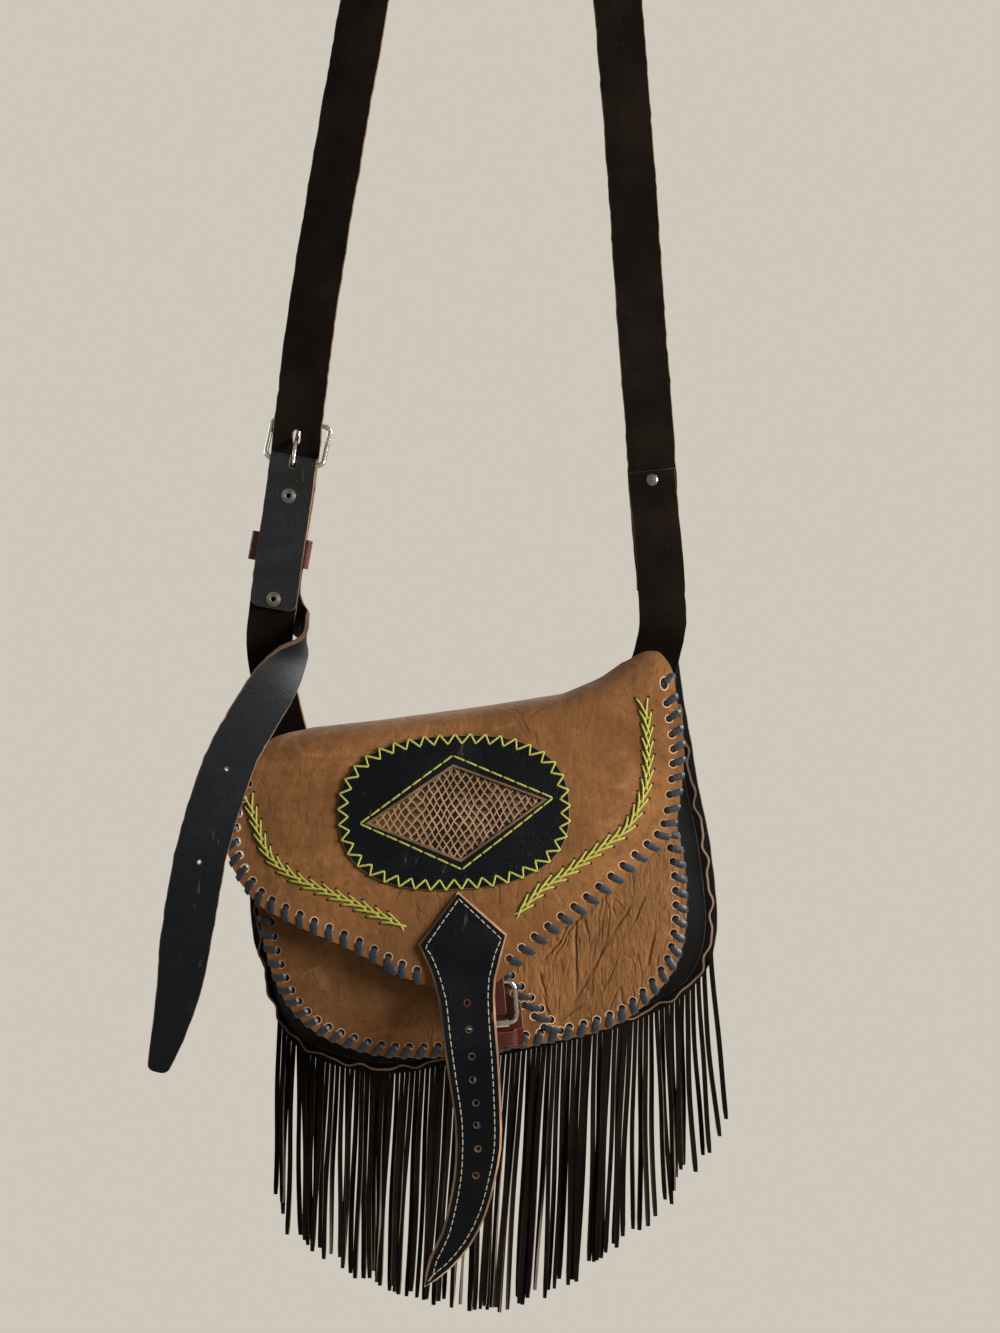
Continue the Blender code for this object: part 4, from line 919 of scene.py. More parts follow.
def make_suede(name, colour, streak_turn):
    """Brushed suede: blotches, strokes of the nap, painted shade in its folds and a fine velvet."""
    skin = Finish(name)
    blotch = skin.noise(12.0, 5.0, 0.6, distortion=0.8).between(0.34, 0.68)
    strokes = skin.noise(46.0, 4.0, 0.65, skin.stretched((1.0, 1.0, 0.3), (0, streak_turn, 0)), 1.2)
    nap = skin.noise(1300.0, 2.0, 0.6)
    mottle = skin.noise(210.0, 4.0, 0.65)
    pale = skin.noise(24.0, 5.0, 0.7, distortion=1.4).between(0.54, 0.76)
    patches = skin.noise(17.0, 2.0).between(0.5, 0.62)
    # Fold lines where the patches allow them: sunk in the bump and darkened in the colour as painted shade.
    folds = 1 - skin.ridge(30.0, 0.035, skin.stretched((1.0, 1.0, 0.5), (0, streak_turn + 0.5, 0)), 1.4)
    fold = folds * patches
    base = skin.layers(
        skin.mix(blotch, shade(colour, 0.68), shade(colour, 1.16)), colour,
        (strokes.between(0.4, 0.72) * 0.45, 0.55),
        (pale * 0.85, (colour[0] * 1.6, colour[1] * 1.75, colour[2] * 2.1)),
        (mottle.between(0.42, 0.72) * 0.6, 0.48), (fold * 0.22, 0.45), (nap.between(0.3, 0.7) * 0.35, 0.6))
    height = strokes * 1.6 + mottle * 0.9 + nap * 0.3 - fold * 0.6
    skin.finish(base, 0.95, height, 0.0009, 0.6, Sheen_Weight=0.12, Sheen_Roughness=0.5, Specular_IOR_Level=0.12)


# Long creases of the right front panel, as start and end
CREASES = (
    ((72.0, -117.0), (74.5, -170.0)), ((94.0, -125.0), (69.0, -174.0)), ((77.0, -112.0), (58.0, -144.0)),
    ((70.0, -120.0), (53.0, -146.0)), ((52.0, -148.0), (58.0, -169.0)), ((91.0, -128.0), (80.0, -156.0)),
    ((80.0, -166.0), (62.0, -180.0)), ((112.0, -100.0), (104.0, -122.0)), ((120.0, -120.0), (112.0, -150.0)),
    ((54.0, -160.0), (62.0, -182.0)), ((104.0, -106.0), (92.0, -128.0)),
)
CREASE_LEAN = 0.42


def make_waxed(name, colour):
    """Smooth pull-up leather with long creases and short hair-like marks, with painted shade in the creases and
    folds.
    """
    skin = Finish(name)
    blotch = skin.noise(16.0, 5.0, 0.6, distortion=0.8)
    marks = skin.noise(420.0, 3.0, 0.6, skin.stretched((1.0, 1.0, 0.34), (0, CREASE_LEAN, 0)), 0.6)
    # Folds and long creases: sunk in the bump and darkened in the colour as painted shade.
    folds = 1 - skin.ridge(58.0, 0.05, skin.stretched((1.0, 1.0, 0.3), (0, CREASE_LEAN, 0)), 1.1)
    fold = folds * skin.noise(26.0, 2.0).between(0.42, 0.56)
    long = skin.crease(*CREASES[0], 1.5)
    for start, end in CREASES[1:]:
        long = long.most(skin.crease(start, end, 1.4))
    # The last layer is painted shade along the folds and long creases.
    base = skin.layers(
        skin.mix(blotch.between(0.3, 0.7), shade(colour, 0.74), shade(colour, 1.18)), colour,
        (marks.between(0.5, 0.7) * 0.55, 0.46), (marks.between(0.32, 0.44, 1.0, 0.0) * 0.3, 1.6),
        ((fold * 0.22).most(long * 0.32), 0.36))
    height = marks * 1.5 - fold * 0.7 - long * 1.3 + skin.noise(90.0, 3.0)
    skin.finish(base, blotch.between(0.2, 0.8, 0.55, 0.72), height, 0.001, 0.75, Specular_IOR_Level=0.2)


def make_smooth(name, colour, roughness, gloss=0.12, wrinkles=1.4):
    """Finished leather with fine grain, scuffs and a faint bloom."""
    skin = Finish(name)
    grain = skin.cells(820.0)
    bloom = skin.noise(22.0, 5.0, 0.65, distortion=0.9).between(0.48, 0.78)
    scratch = skin.noise(190.0, 5.0, 0.7, skin.stretched((1.0, 1.0, 0.3), (0, 0.7, 0)), 0.5).between(0.61, 0.68)
    worn = skin.noise(48.0, 3.0).between(0.5, 0.62)
    base = skin.layers(colour, colour, (bloom * 0.8, 2.2), (scratch * worn * 0.6, (0.15, 0.105, 0.08)))
    rough = bloom.between(0.0, 1.0, roughness, roughness + 0.12) + scratch * 0.2
    wrinkle = skin.noise(120.0, 3.0, 0.6, skin.stretched((0.5, 1.0, 1.6), (0, 0.3, 0)), 1.0)
    height = grain.between(0.0, 0.12) * 0.3 + wrinkle * wrinkles
    skin.finish(base, rough, height, 0.0004, 0.5, Specular_IOR_Level=gloss)


def make_rough(name, colour, fleck):
    """Flesh side: matt, fibrous, with pale specks."""
    skin = Finish(name)
    fibre = skin.noise(520.0, 4.0, 0.7, skin.stretched((1.0, 1.0, 0.45)))
    patch = skin.noise(24.0, 4.0, 0.6)
    base = skin.mix(patch.between(0.35, 0.7), shade(colour, 0.7), shade(colour, 1.7))
    base = skin.mix(fibre.between(0.6, 0.82) * 0.55, base, fleck)
    skin.finish(base, 0.95, fibre + skin.noise(110.0, 3.0) * 0.6, 0.0005, 0.7, Specular_IOR_Level=0.1)


def make_lace(name, colour):
    skin = Finish(name)
    wear = skin.noise(120.0, 3.0).between(0.5, 0.75)
    base = skin.mix(wear * 0.6, colour, shade(colour, 2.1))
    skin.finish(base, 0.42, skin.noise(700.0, 3.0), 0.0002, 0.5, Specular_IOR_Level=0.6)


def make_thread(name, colour):
    """Twisted thread: the strands show as fine slanting bands, with painted shade in the grooves between them."""
    skin = Finish(name)
    bands = (skin.axis(0) + skin.axis(2) * 1.6 + skin.axis(1)) * 5200.0
    twist = bands.sine() * 0.5 + 0.5
    # The twist darkens the colour between the strands as painted shade and raises the strands in the bump.
    skin.finish(skin.mix(twist * 0.4, colour, shade(colour, 0.45)), 0.6, twist, 0.0002, 0.5)


# Width and height of a scale
SCALE_PITCH = (4.7, 7.0)


def make_snakeskin(name, colour):
    """Scales in a slanted lattice: pale walls round darker hollows, ochre towards the left."""
    skin = Finish(name)
    x, z = skin.axis(0) * 1000.0, skin.axis(2) * 1000.0
    warp = skin.noise(60.0, 2.0) * 1.6
    across, down = SCALE_PITCH
    first, second = (x / across + z / down + warp).fraction(), (x / across - z / down + warp).fraction()
    wall = (first - 0.5).absolute().most((second - 0.5).absolute()).between(0.36, 0.41)
    light_side = (first - second).between(-0.35, 0.25, 1.0, 0.0)
    tone = skin.noise(75.0, 3.0, 0.6).between(0.44, 0.6)
    hollow = skin.mix(light_side * (0.02 + tone * 0.4), (0.015, 0.008, 0.004), shade(colour, 0.65))
    pale = skin.mix(skin.noise(55.0, 3.0).between(0.35, 0.7), shade(colour, 0.8), shade(colour, 1.3))
    ochre = x.between(-38.0, -4.0, 1.0, 0.0)
    pale = skin.mix(ochre * 0.7, pale, (0.50, 0.30, 0.11))
    shine = skin.mix(wall, skin.mix(ochre * 0.5, hollow, (0.20, 0.11, 0.04)), pale)
    skin.finish(shine, 0.6, wall, 0.0006, 0.9, Specular_IOR_Level=0.12)


def make_metal(name, colour, roughness):
    skin = Finish(name)
    wear = skin.noise(160.0, 3.0).between(0.5, 0.8)
    rough = wear.between(0.0, 1.0, roughness, roughness + 0.15)
    base = skin.mix(wear * 0.35, colour, shade(colour, 0.62))
    skin.finish(base, rough, skin.noise(60.0, 2.0), 0.0002, 0.15, Metallic=1.0)


# Settings of the looks

def length_setting(name, description, default):
    return bpy.props.FloatProperty(
        name=name, description=description, default=default, min=0.0, precision=5, unit="LENGTH")


def colour_setting(name, description, default):
    return bpy.props.FloatVectorProperty(
        name=name, description=description, default=default, min=0.0, max=1.0, size=3, subtype="COLOR")


class BagSizes(bpy.types.PropertyGroup):
    """Sizes of the bag's trim."""
    lace_width: length_setting("Lace width", "Width of the flat leather lace", 0.0038)
    lace_thickness: length_setting("Lace thickness", "Thickness of the lace", 0.0008)
    flap_pitch: length_setting("Flap lace pitch", "Distance between two stitches round the flap", 0.0094)
    panel_pitch: length_setting("Panel lace pitch", "Distance between two stitches round the front", 0.0087)
    lace_inset: length_setting("Lace inset", "Distance from an edge to its punched holes", 0.0066)
    lace_slant: length_setting("Lace slant", "How far a stitch runs along the edge as it crosses it", 0.0030)
    lace_hole: length_setting("Lace hole", "Radius of the punched holes", 0.0022)
    thread_radius: length_setting("Embroidery thread", "Radius of the lime thread", 0.00066)
    seam_radius: length_setting("Seam thread", "Radius of the cream thread", 0.00036)
    strand_width: length_setting("Strand width", "Width of a fringe strand", 0.0029)
    strand_thickness: length_setting("Strand thickness", "Thickness of a fringe strand", 0.0016)


class BagColours(bpy.types.PropertyGroup):
    """Colours of the bag's leathers, threads and metal."""
    suede: colour_setting("Suede", "Caramel suede of flap and left front", (0.350, 0.157, 0.057))
    tan: colour_setting("Tan leather", "Waxed leather of the right front", (0.285, 0.130, 0.045))
    black: colour_setting("Black leather", "Smooth leather with a navy cast", (0.0038, 0.0048, 0.0068))
    rough: colour_setting("Flesh side", "Dark rough side of the strap and the fringe", (0.0085, 0.0055, 0.0038))
    gusset: colour_setting("Black suede", "Suede of sides and bottom", (0.0022, 0.0022, 0.0025))
    edge: colour_setting("Raw edge", "Cut edges of the black leather", (0.200, 0.125, 0.080))
    edge_tan: colour_setting("Tan edge", "Cut edges and punched holes of the tan leather", (0.54, 0.35, 0.215))
    lace: colour_setting("Lace", "Slate-blue lace", (0.020, 0.028, 0.042))
    lime: colour_setting("Lime thread", "Embroidery on the flap", (0.62, 0.64, 0.13))
    cream: colour_setting("Cream thread", "Stitching of the closure strap", (0.72, 0.68, 0.52))
    burgundy: colour_setting("Burgundy leather", "Base of the front buckle and keepers", (0.085, 0.013, 0.010))
    snake: colour_setting("Snakeskin", "Pale walls of the inlay's scales", (0.47, 0.295, 0.18))
    nickel: colour_setting("Nickel", "Buckles", (0.62, 0.60, 0.56))
    dark_metal: colour_setting("Dark metal", "Eyelets and rivet", (0.24, 0.22, 0.19))
    backdrop: colour_setting("Backdrop", "Pale ground behind the bag", (0.62, 0.575, 0.50))


# Operators

class BAG_OT_finishes(bpy.types.Operator):
    """Make the bag's materials and give them to the metal pieces of the frame"""
    bl_idname = "bag.finishes"
    bl_label = "Finishes"

    def execute(self, context):
        colours = context.scene.bag_colours
        make_suede("suede", colours.suede, 0.3)
        make_suede("suede_left", shade(colours.suede, 0.9), -0.5)
        make_waxed("waxed_tan", colours.tan)
        for name, colour, *looks in (
                ("smooth_black", colours.black, 0.36),
                # The tab and the strap are lighter copies of the black: their lift over it is painted sheen.
                ("tab_black", shade(colours.black, 1.8), 0.32, 0.5, 3.6),
                ("strap_black", shade(colours.black, 1.5), 0.5, 0.14, 1.6),
                ("smooth_burgundy", colours.burgundy, 0.36, 0.4)):
            make_smooth(name, colour, *looks)
        for name, colour, fleck in (
                ("rough_black", colours.rough, (0.045, 0.032, 0.024)),
                ("gusset_suede", colours.gusset, (0.016, 0.015, 0.015)),
                ("fringe_face", shade(colours.rough, 0.85), (0.040, 0.034, 0.030)),
                ("fringe_edge", (0.150, 0.122, 0.100), (0.03, 0.024, 0.020)),
                ("raw_edge", colours.edge, shade(colours.edge, 0.35)),
                ("tan_edge", colours.edge_tan, shade(colours.edge_tan, 0.45)),
                ("lining_face", colours.edge_tan, shade(colours.edge_tan, 0.6))):
            make_rough(name, colour, fleck)
        make_lace("lace", colours.lace)
        make_thread("lime_thread", colours.lime)
        make_thread("cream_thread", colours.cream)
        make_snakeskin("snake_scales", colours.snake)
        make_metal("nickel_plate", colours.nickel, 0.2)
        make_metal("antique_metal", colours.dark_metal, 0.35)
        # Near-black paint for the shade inside the stitch holes.
        hole = Finish("punched_hole")
        hole.finish(hole.mix(hole.noise(600.0), (0.004, 0.003, 0.002), (0.02, 0.012, 0.008)), 0.9)
        for node in ("tab_rivet_upper", "tab_rivet_lower", "strap_rivet", "front_buckle_roller"):
            finish = "nickel_plate" if node == "front_buckle_roller" else "antique_metal"
            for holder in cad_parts[node].material_slots:
                holder.material = bpy.data.materials[finish]
        return {"FINISHED"}


def lace_stitch(target, surface, hole, rim, out2, next_hole, sizes):
    """One stitch of lace: out of its hole, over the edge and behind to the next hole."""
    width, thick = sizes.lace_width / MM / 2, sizes.lace_thickness / MM / 2
    half, face = SUEDE / 2, SUEDE / 2 + thick
    edge = shifted(rim, out2, thick + 0.25)
    # Each with its height and its lean towards the edge
    steps = [
        (partway(hole, rim, -0.1), half - 1.4, 0.0), (partway(hole, rim, 0.02), half - 0.3, 0.0),
        (partway(hole, rim, 0.16), face + 0.15, 0.0), (partway(hole, rim, 0.5), face + 0.22, 0.0),
        (partway(hole, rim, 0.88), face + 0.05, 0.4), (edge, half * 0.3, 1.35), (edge, -half * 0.5, 1.9),
        (partway(hole, rim, 0.9), -face - 0.05, 2.8), (partway(rim, next_hole, 0.5), -face - 0.25, math.pi),
        (next_hole, -face + 0.1, math.pi),
    ]
    points, outs = laid(surface, [(*spot, height) for spot, height, _ in steps])
    away = Vector((out2[0], 0, out2[1]))
    outs = [(out * math.cos(lean) + away * math.sin(lean)).normalized() for out, (_, _, lean) in zip(outs, steps)]
    carry(target, points, outs, width, thick, 0.8)


def lacing_plan(rim, sign, sizes, first, last, pitch):
    """Holes and edge points of a whipstitched edge, all leaning forward."""
    inset, slant = sizes.lace_inset / MM, sizes.lace_slant / MM
    length = polyline_lengths(rim)[-1]
    count = int((length - first - last) / pitch)
    plan = []
    for i in range(count + 1):
        spot = first + pitch * i
        point, forward, left = along_path(rim, spot)
        out2 = (left[0] * sign, left[1] * sign)
        hole = shifted(shifted(point, out2, -inset), forward, -slant / 2)
        edge, _, left = along_path(rim, spot + slant / 2)
        plan.append((hole, edge, (left[0] * sign, left[1] * sign)))
    return plan


def dense_flap_rim():
    return resample(catmull(FLAP_EDGE, 10), 260)


def over_fold(side, low=-1.0, high=2.0):
    """One side of the flap's fold, at shares of its run between low and high."""
    return [(x, hinge_height(x) + FOLD_SPAN * t) for t, x in catmull(side, 5) if low < t < high]


def flap_lacing_plan(sizes):
    covered = closure_outline(-3.4)
    rim = dense_flap_rim() + over_fold(FOLD_RIGHT, 0.03, 0.24)
    plan = lacing_plan(rim, -1, sizes, 4.0, 1.0, sizes.flap_pitch / MM)
    return [step for step in plan if not inside(step[0], covered) and not inside(step[1], covered)]


def panel_polygons(sizes):
    """Outlines of the right and left front panels with their scalloped edge, and the normal of their seam."""
    rim = scalloped(rim_points(FRONT_RIM, 300), sizes.panel_pitch / MM, 10.0, 0.5, 1)
    outline = rim + [(x, hinge_height(x) - MOUTH_DROP) for x in (rim[-1][0], rim[0][0])]
    length = math.hypot(1.0, PANEL_SEAM_RISE)
    normal = (PANEL_SEAM_RISE / length, 1.0 / length)
    right, left = (
        clip(outline, shifted(PANEL_SEAM_FOOT, normal, sign * SEAM_GAP / 2), (sign * normal[0], sign * normal[1]))
        for sign in (1, -1))
    return right, left, normal


def seam_plan(normal, sizes):
    """Stitches across the diagonal seam, from the left panel's holes to the right's."""
    run = (-normal[1], normal[0])
    middles = [shifted(PANEL_SEAM_FOOT, run, SEAM_START + i * sizes.panel_pitch / MM) for i in range(SEAM_STITCHES)]
    return [[shifted(shifted(middle, normal, -sign * SEAM_REACH), run, sign * SEAM_SLANT) for sign in (1, -1)]
            for middle in middles]


class BAG_OT_body(bpy.types.Operator):
    """Build the back, the gusset and the two front panels"""
    bl_idname = "bag.body"
    bl_label = "Body"

    def execute(self, context):
        sizes = context.scene.bag_sizes
        self.build_back()
        self.build_gusset()
        right, left, normal = panel_polygons(sizes)
        plan = lacing_plan(rim_points(FRONT_RIM, 300), 1, sizes, 10.0, 8.0, sizes.panel_pitch / MM)
        spots = [hole for hole, _, _ in plan] + [end for pair in seam_plan(normal, sizes) for end in pair]
        for node, outline, face, leather in (
                ("front_panel_right", right, "waxed_tan", "leather_tan"),
                ("front_panel_left", left, "suede_left", "suede_caramel")):
            holes = [circle(spot, sizes.lace_hole / MM, 10) for spot in spots if inside(spot, outline)]
            cut(node + "_leather", outline, front_surface, SUEDE, (face, "tan_edge", "gusset_suede"), "bag",
                node, holes, 5.0, 0.6, 0.5)
        self.build_lacing(plan, normal, right, left, sizes)
        return {"FINISHED"}

    @staticmethod
    def build_back():
        rim = rim_points(REAR_RIM, 200)
        margins = []
        for x, z in rim:
            side = smooth_step((z + 175.0) / 30.0)
            margins.append(BACK_MARGIN * side - 1.5 * (1 - side) + 0.35 * ripple(x, z, 9.0, 2.2))
        hinge = [(x, hinge_height(x) - HINGE_GAP) for x in (-88.0, 95.0)]
        outline = offset_outline(rim, margins) + BACK_EAR_LEFT + hinge + BACK_EAR_RIGHT

        def surface(x, z):
            return Vector((x, BACK_FACE_Y - BACK / 2 + 0.15 * ripple(x, z, 30.0, 6.6), z))
        faces = ("smooth_black", "raw_edge", "smooth_black")
        cut("back_leather", outline, surface, BACK, faces, "bag", "back_panel", spacing=9.0, bevel=0.4)

    @staticmethod
    def build_gusset():
        count = 320
        front = rim_points(FRONT_RIM, count)
        front_inner = offset_outline(front, repeat(-FRONT_SEAM))
        smooth_rear = rim_points(REAR_RIM, count)
        rear = wavy(smooth_rear)
        rear_inner = offset_outline(smooth_rear, repeat(-REAR_SEAM))
        rows = []
        for a, b, c, d in zip(front, front_inner, rear_inner, rear):
            behind = SUEDE / 2 + LACE_ROOM + GUSSET / 2
            front_side, rim_side = front_y(*b) + behind, front_y(*a) + behind
            in_fringe = smooth_step((-100.0 - d[1]) / 15.0)
            rear_y = BACK_FACE_Y - BACK - FIT - GUSSET / 2 - in_fringe * (FRINGE + FIT)
            keys = [Vector((a[0], rim_side, a[1])), Vector((b[0], front_side, b[1])),
                    Vector(((b[0] + c[0]) / 2, (front_side + rear_y) / 2, (b[1] + c[1]) / 2)),
                    Vector((c[0], rear_y - 1.0, c[1])), Vector((d[0], rear_y, d[1]))]
            middle = keys[2]
            crumple = 1.6 * ripple(middle.x, middle.z, 16.0, 8.1)
            spread = [tuple(keys[0]), tuple((keys[0] + keys[1]) / 2), tuple(keys[1])]
            for t in (0.2, 0.4, 0.6, 0.8):
                point = keys[1].lerp(keys[3], t)
                point += (middle - keys[1].lerp(keys[3], 0.5)) * (1 - abs(2 * t - 1))
                point += Vector((d[0] - c[0], 0, d[1] - c[1])).normalized() * crumple * math.sin(math.pi * t)
                spread.append(tuple(point))
            rim = keys[4] + (keys[3] - keys[4]).normalized() * 1.3
            spread += [tuple(keys[3]), tuple(rim), tuple(keys[4])]
            rows.append([Vector(p) for p in spread])
        bm = grid_sheet(rows, GUSSET, worn=(len(rows[0]) - 2,))
        faces = ("gusset_suede", "raw_edge", "gusset_suede")
        dress("gusset_leather", bm, faces, "bag", ["gusset"], bevel=0.3)

    @staticmethod
    def build_lacing(plan, normal, right, left, sizes):
        bm = bmesh.new()
        for (hole, edge, out2), (following, _, _) in zip(plan, plan[1:]):
            lace_stitch(bm, front_surface, hole, edge, out2, following, sizes)
        dress("panel_lacing", bm, ("lace",), "bag")
        bm = bmesh.new()
        width, thick = sizes.lace_width / MM / 2 * 0.9, sizes.lace_thickness / MM / 2
        half, face = SUEDE / 2, SUEDE / 2 + thick
        heights = ((-0.12, half - 1.4), (0.02, half - 0.3), (0.15, face + 0.1), (0.5, face + 0.5), (0.85, face + 0.1),
                   (0.98, half - 0.3), (1.12, half - 1.4))
        for low, high in seam_plan(normal, sizes):
            if inside(low, left) and inside(high, right):
                points, outs = laid(front_surface, [(*partway(low, high, t), height) for t, height in heights])
                carry(bm, points, outs, width, thick, 0.8)
        dress("seam_lacing", bm, ("lace",), "bag")


# Ends of the feather stitching, as lines down its middle
FEATHER_RIGHT = [
    (103.7, 13.6), (107.4, 0.4), (108.8, -15.3), (109.5, -27.5), (108.5, -40.4), (104.5, -52.9), (98.1, -64.4),
    (88.1, -72.4), (76.4, -81.8), (64.6, -91.2), (52.3, -99.6), (43.5, -108.8), (36.5, -117.0),
]
FEATHER_LEFT = [
    (-124.7, -55.2), (-121.8, -63.3), (-118, -73.0), (-113.1, -84.4), (-108, -92.2), (-98.8, -99.3), (-87.4, -105.1),
    (-76.7, -108.5), (-65.3, -112.6), (-54.7, -116.1), (-43.3, -120.7), (-34.4, -123.7), (-27.0, -127.5),
]
FEATHER_PITCH = 8.3
FEATHER_WIDTH = 6.8
FEATHER_REACH = 15.0
ZIGZAG_STITCHES = 41
ZIGZAG_DEPTH = 5.4


def patch_line(offset, count):
    """The patch's edge moved outward by offset."""
    points = []
    turn = math.radians(PATCH_TILT)
    for i in range(count):
        angle = 2 * math.pi * i / count
        c, s = math.cos(angle), math.sin(angle)
        x = (PATCH_SIZE[0] / 2 + offset) * math.copysign(abs(c) ** (2 / PATCH_POWER), c)
        z = (PATCH_SIZE[1] / 2 + offset) * math.copysign(abs(s) ** (2 / PATCH_POWER), s)
        points.append((PATCH_CENTRE[0] + x * math.cos(turn) - z * math.sin(turn),
                       PATCH_CENTRE[1] + x * math.sin(turn) + z * math.cos(turn)))
    return points


def stitch_hole(target, surface, spot, height, radius=0.75):
    """Dark dot of painted shade where a thread goes in."""
    point, out = placed(surface, spot[0], spot[1], height)
    side = out.cross(Vector((0, 0, 1))).normalized()
    up = side.cross(out).normalized()
    matrix = Matrix([[side.x, up.x, out.x], [side.y, up.y, out.y], [side.z, up.z, out.z]]).to_4x4()
    matrix.translation = to_world(point)
    bmesh.ops.create_cone(target, cap_ends=True, segments=8, radius1=radius * MM, radius2=radius * MM * 0.7,
                          depth=0.16 * MM, matrix=matrix)


class BAG_OT_flap(bpy.types.Operator):
    """Build the flap with its patch, inlay, lacing and embroidery"""
    bl_idname = "bag.flap"
    bl_label = "Flap"

    def execute(self, context):
        sizes = context.scene.bag_sizes
        plan = flap_lacing_plan(sizes)
        holes = [circle(hole, sizes.lace_hole / MM, 10) for hole, _, _ in plan]
        front = scalloped(dense_flap_rim(), sizes.flap_pitch / MM, 4.0, 0.6, -1)
        far_right, far_left = FOLD_RIGHT[-1][1], FOLD_LEFT[0][1]
        across = [far_right + (far_left - far_right) * i / 36 for i in range(1, 36)]
        top = [(x, hinge_height(x) + FOLD_SPAN) for x in across]
        outline = front + over_fold(FOLD_RIGHT) + top + over_fold(FOLD_LEFT)
        cut("flap_leather", outline, flap_surface, SUEDE, ("suede", "tan_edge", "suede"), "flap",
            "flap", holes, 4.5, 0.6, 0.55)
        self.build_patch()
        self.build_lacing(plan, sizes)
        self.build_embroidery(sizes)
        return {"FINISHED"}

    @staticmethod
    def build_patch():
        height = SUEDE / 2 + LAYER_GAP * 0.3 + PATCH / 2
        cut("patch_leather", patch_line(0.0, 180), raised_flap(height), PATCH, BLACK, "flap",
            "oval_patch", [divided(WINDOW, 14)], 4.0, 2.0, 0.45)
        cut("inlay_skin", divided(shrink(WINDOW, -3.0), 14), raised_flap(SUEDE / 2 + 0.1), 0.3,
            ("snake_scales", "raw_edge", "raw_edge"), "flap", "snakeskin_inlay")

    @staticmethod
    def build_lacing(plan, sizes):
        bm = bmesh.new()
        for index, (hole, edge, out2) in enumerate(plan):
            following = plan[index + 1][0] if index + 1 < len(plan) else shifted(hole, (1, 0), 4.0)
            if math.dist(following, hole) > 2.2 * sizes.flap_pitch / MM:
                following = shifted(hole, (0.8, -0.4), 4.0)
            lace_stitch(bm, flap_surface, hole, edge, out2, following, sizes)
        knot = min(plan, key=lambda step: math.dist(step[1], (-31.0, -151.0)))
        centre = shifted(knot[1], (0.9, 0.2), 3.0)
        for turn, lift in ((0.35, 0.7), (-0.9, 1.5)):
            direction = (math.cos(turn), math.sin(turn))
            points, outs = laid(flap_surface, [
                (*shifted(centre, direction, 3.4 * t), SUEDE / 2 + lift + 0.7 * (1 - t * t))
                for t in (-1.0, -0.6, 0.0, 0.6, 1.0)])
            carry(bm, points, outs, sizes.lace_width / MM / 2, sizes.lace_thickness / MM / 2, 0.85)
        dress("flap_lacing", bm, ("lace",), "flap")

    @staticmethod
    def build_embroidery(sizes):
        radius = sizes.thread_radius / MM
        # Lime thread, and dark dots of painted shade where it goes into its holes.
        lime, hole_shades = bmesh.new(), bmesh.new()
        on_suede = SUEDE / 2
        on_patch = SUEDE / 2 + LAYER_GAP * 0.3 + PATCH
        # Zigzag over the patch's edge
        outer = patch_line(0.5, 720)
        inner = patch_line(-ZIGZAG_DEPTH, 720)
        outer, inner = (resample(line + line[:1], 4 * ZIGZAG_STITCHES) for line in (outer, inner))
        for i in range(ZIGZAG_STITCHES):
            middle = inner[4 * i + 2]
            for k in (0, 4):
                end = outer[(4 * i + k) % (4 * ZIGZAG_STITCHES)]
                thread(lime, flap_surface, [end, middle], on_patch + radius * 0.6, 0.35, radius)
            stitch_hole(hole_shades, flap_surface, outer[4 * i], on_suede + 0.05, 0.95)
            stitch_hole(hole_shades, flap_surface, middle, on_patch + 0.05)
        # Running stitch round the window
        for a, b in sides_of(shrink(WINDOW, -6.4)):
            count = max(round(math.dist(a, b) / 7.8), 1)
            for i in range(count):
                ends = [partway(a, b, (i + start) / count) for start in (0.06, 0.94)]
                thread(lime, flap_surface, ends, on_patch + radius * 0.5, 0.3, radius * 0.95)
                stitch_hole(hole_shades, flap_surface, ends[0], on_patch + 0.05, 0.6)
        # Feather stitches crossing along their line
        for line in (FEATHER_LEFT, FEATHER_RIGHT):
            path = catmull(line, 8)
            length = polyline_lengths(path)[-1]
            count = int((length - FEATHER_REACH * 0.6) / FEATHER_PITCH)
            for i in range(count + 1):
                for sign in (1, -1):
                    spot = FEATHER_PITCH * (i + (0.12 if sign > 0 else -0.12))
                    reach = min(FEATHER_REACH, length + 2.0 - spot)
                    spots = []
                    for t, across in ((1.0, -0.2), (0.65, 0.04), (0.3, 0.26), (0.0, 0.5)):
                        middle, _, left = along_path(path, spot + reach * t)
                        spots.insert(0, shifted(middle, left, sign * across * FEATHER_WIDTH))
                    lift = 0.7 if sign > 0 else 1.2
                    thread(lime, flap_surface, spots, on_suede + radius * 0.5, lift, radius, steps=9)
                    stitch_hole(hole_shades, flap_surface, shifted(spots[0], left, sign * 0.4), on_suede + 0.08, 1.05)
        dress("lime_embroidery", lime, ("lime_thread",), "flap")
        dress("stitch_hole_shades", hole_shades, ("punched_hole",), "flap")


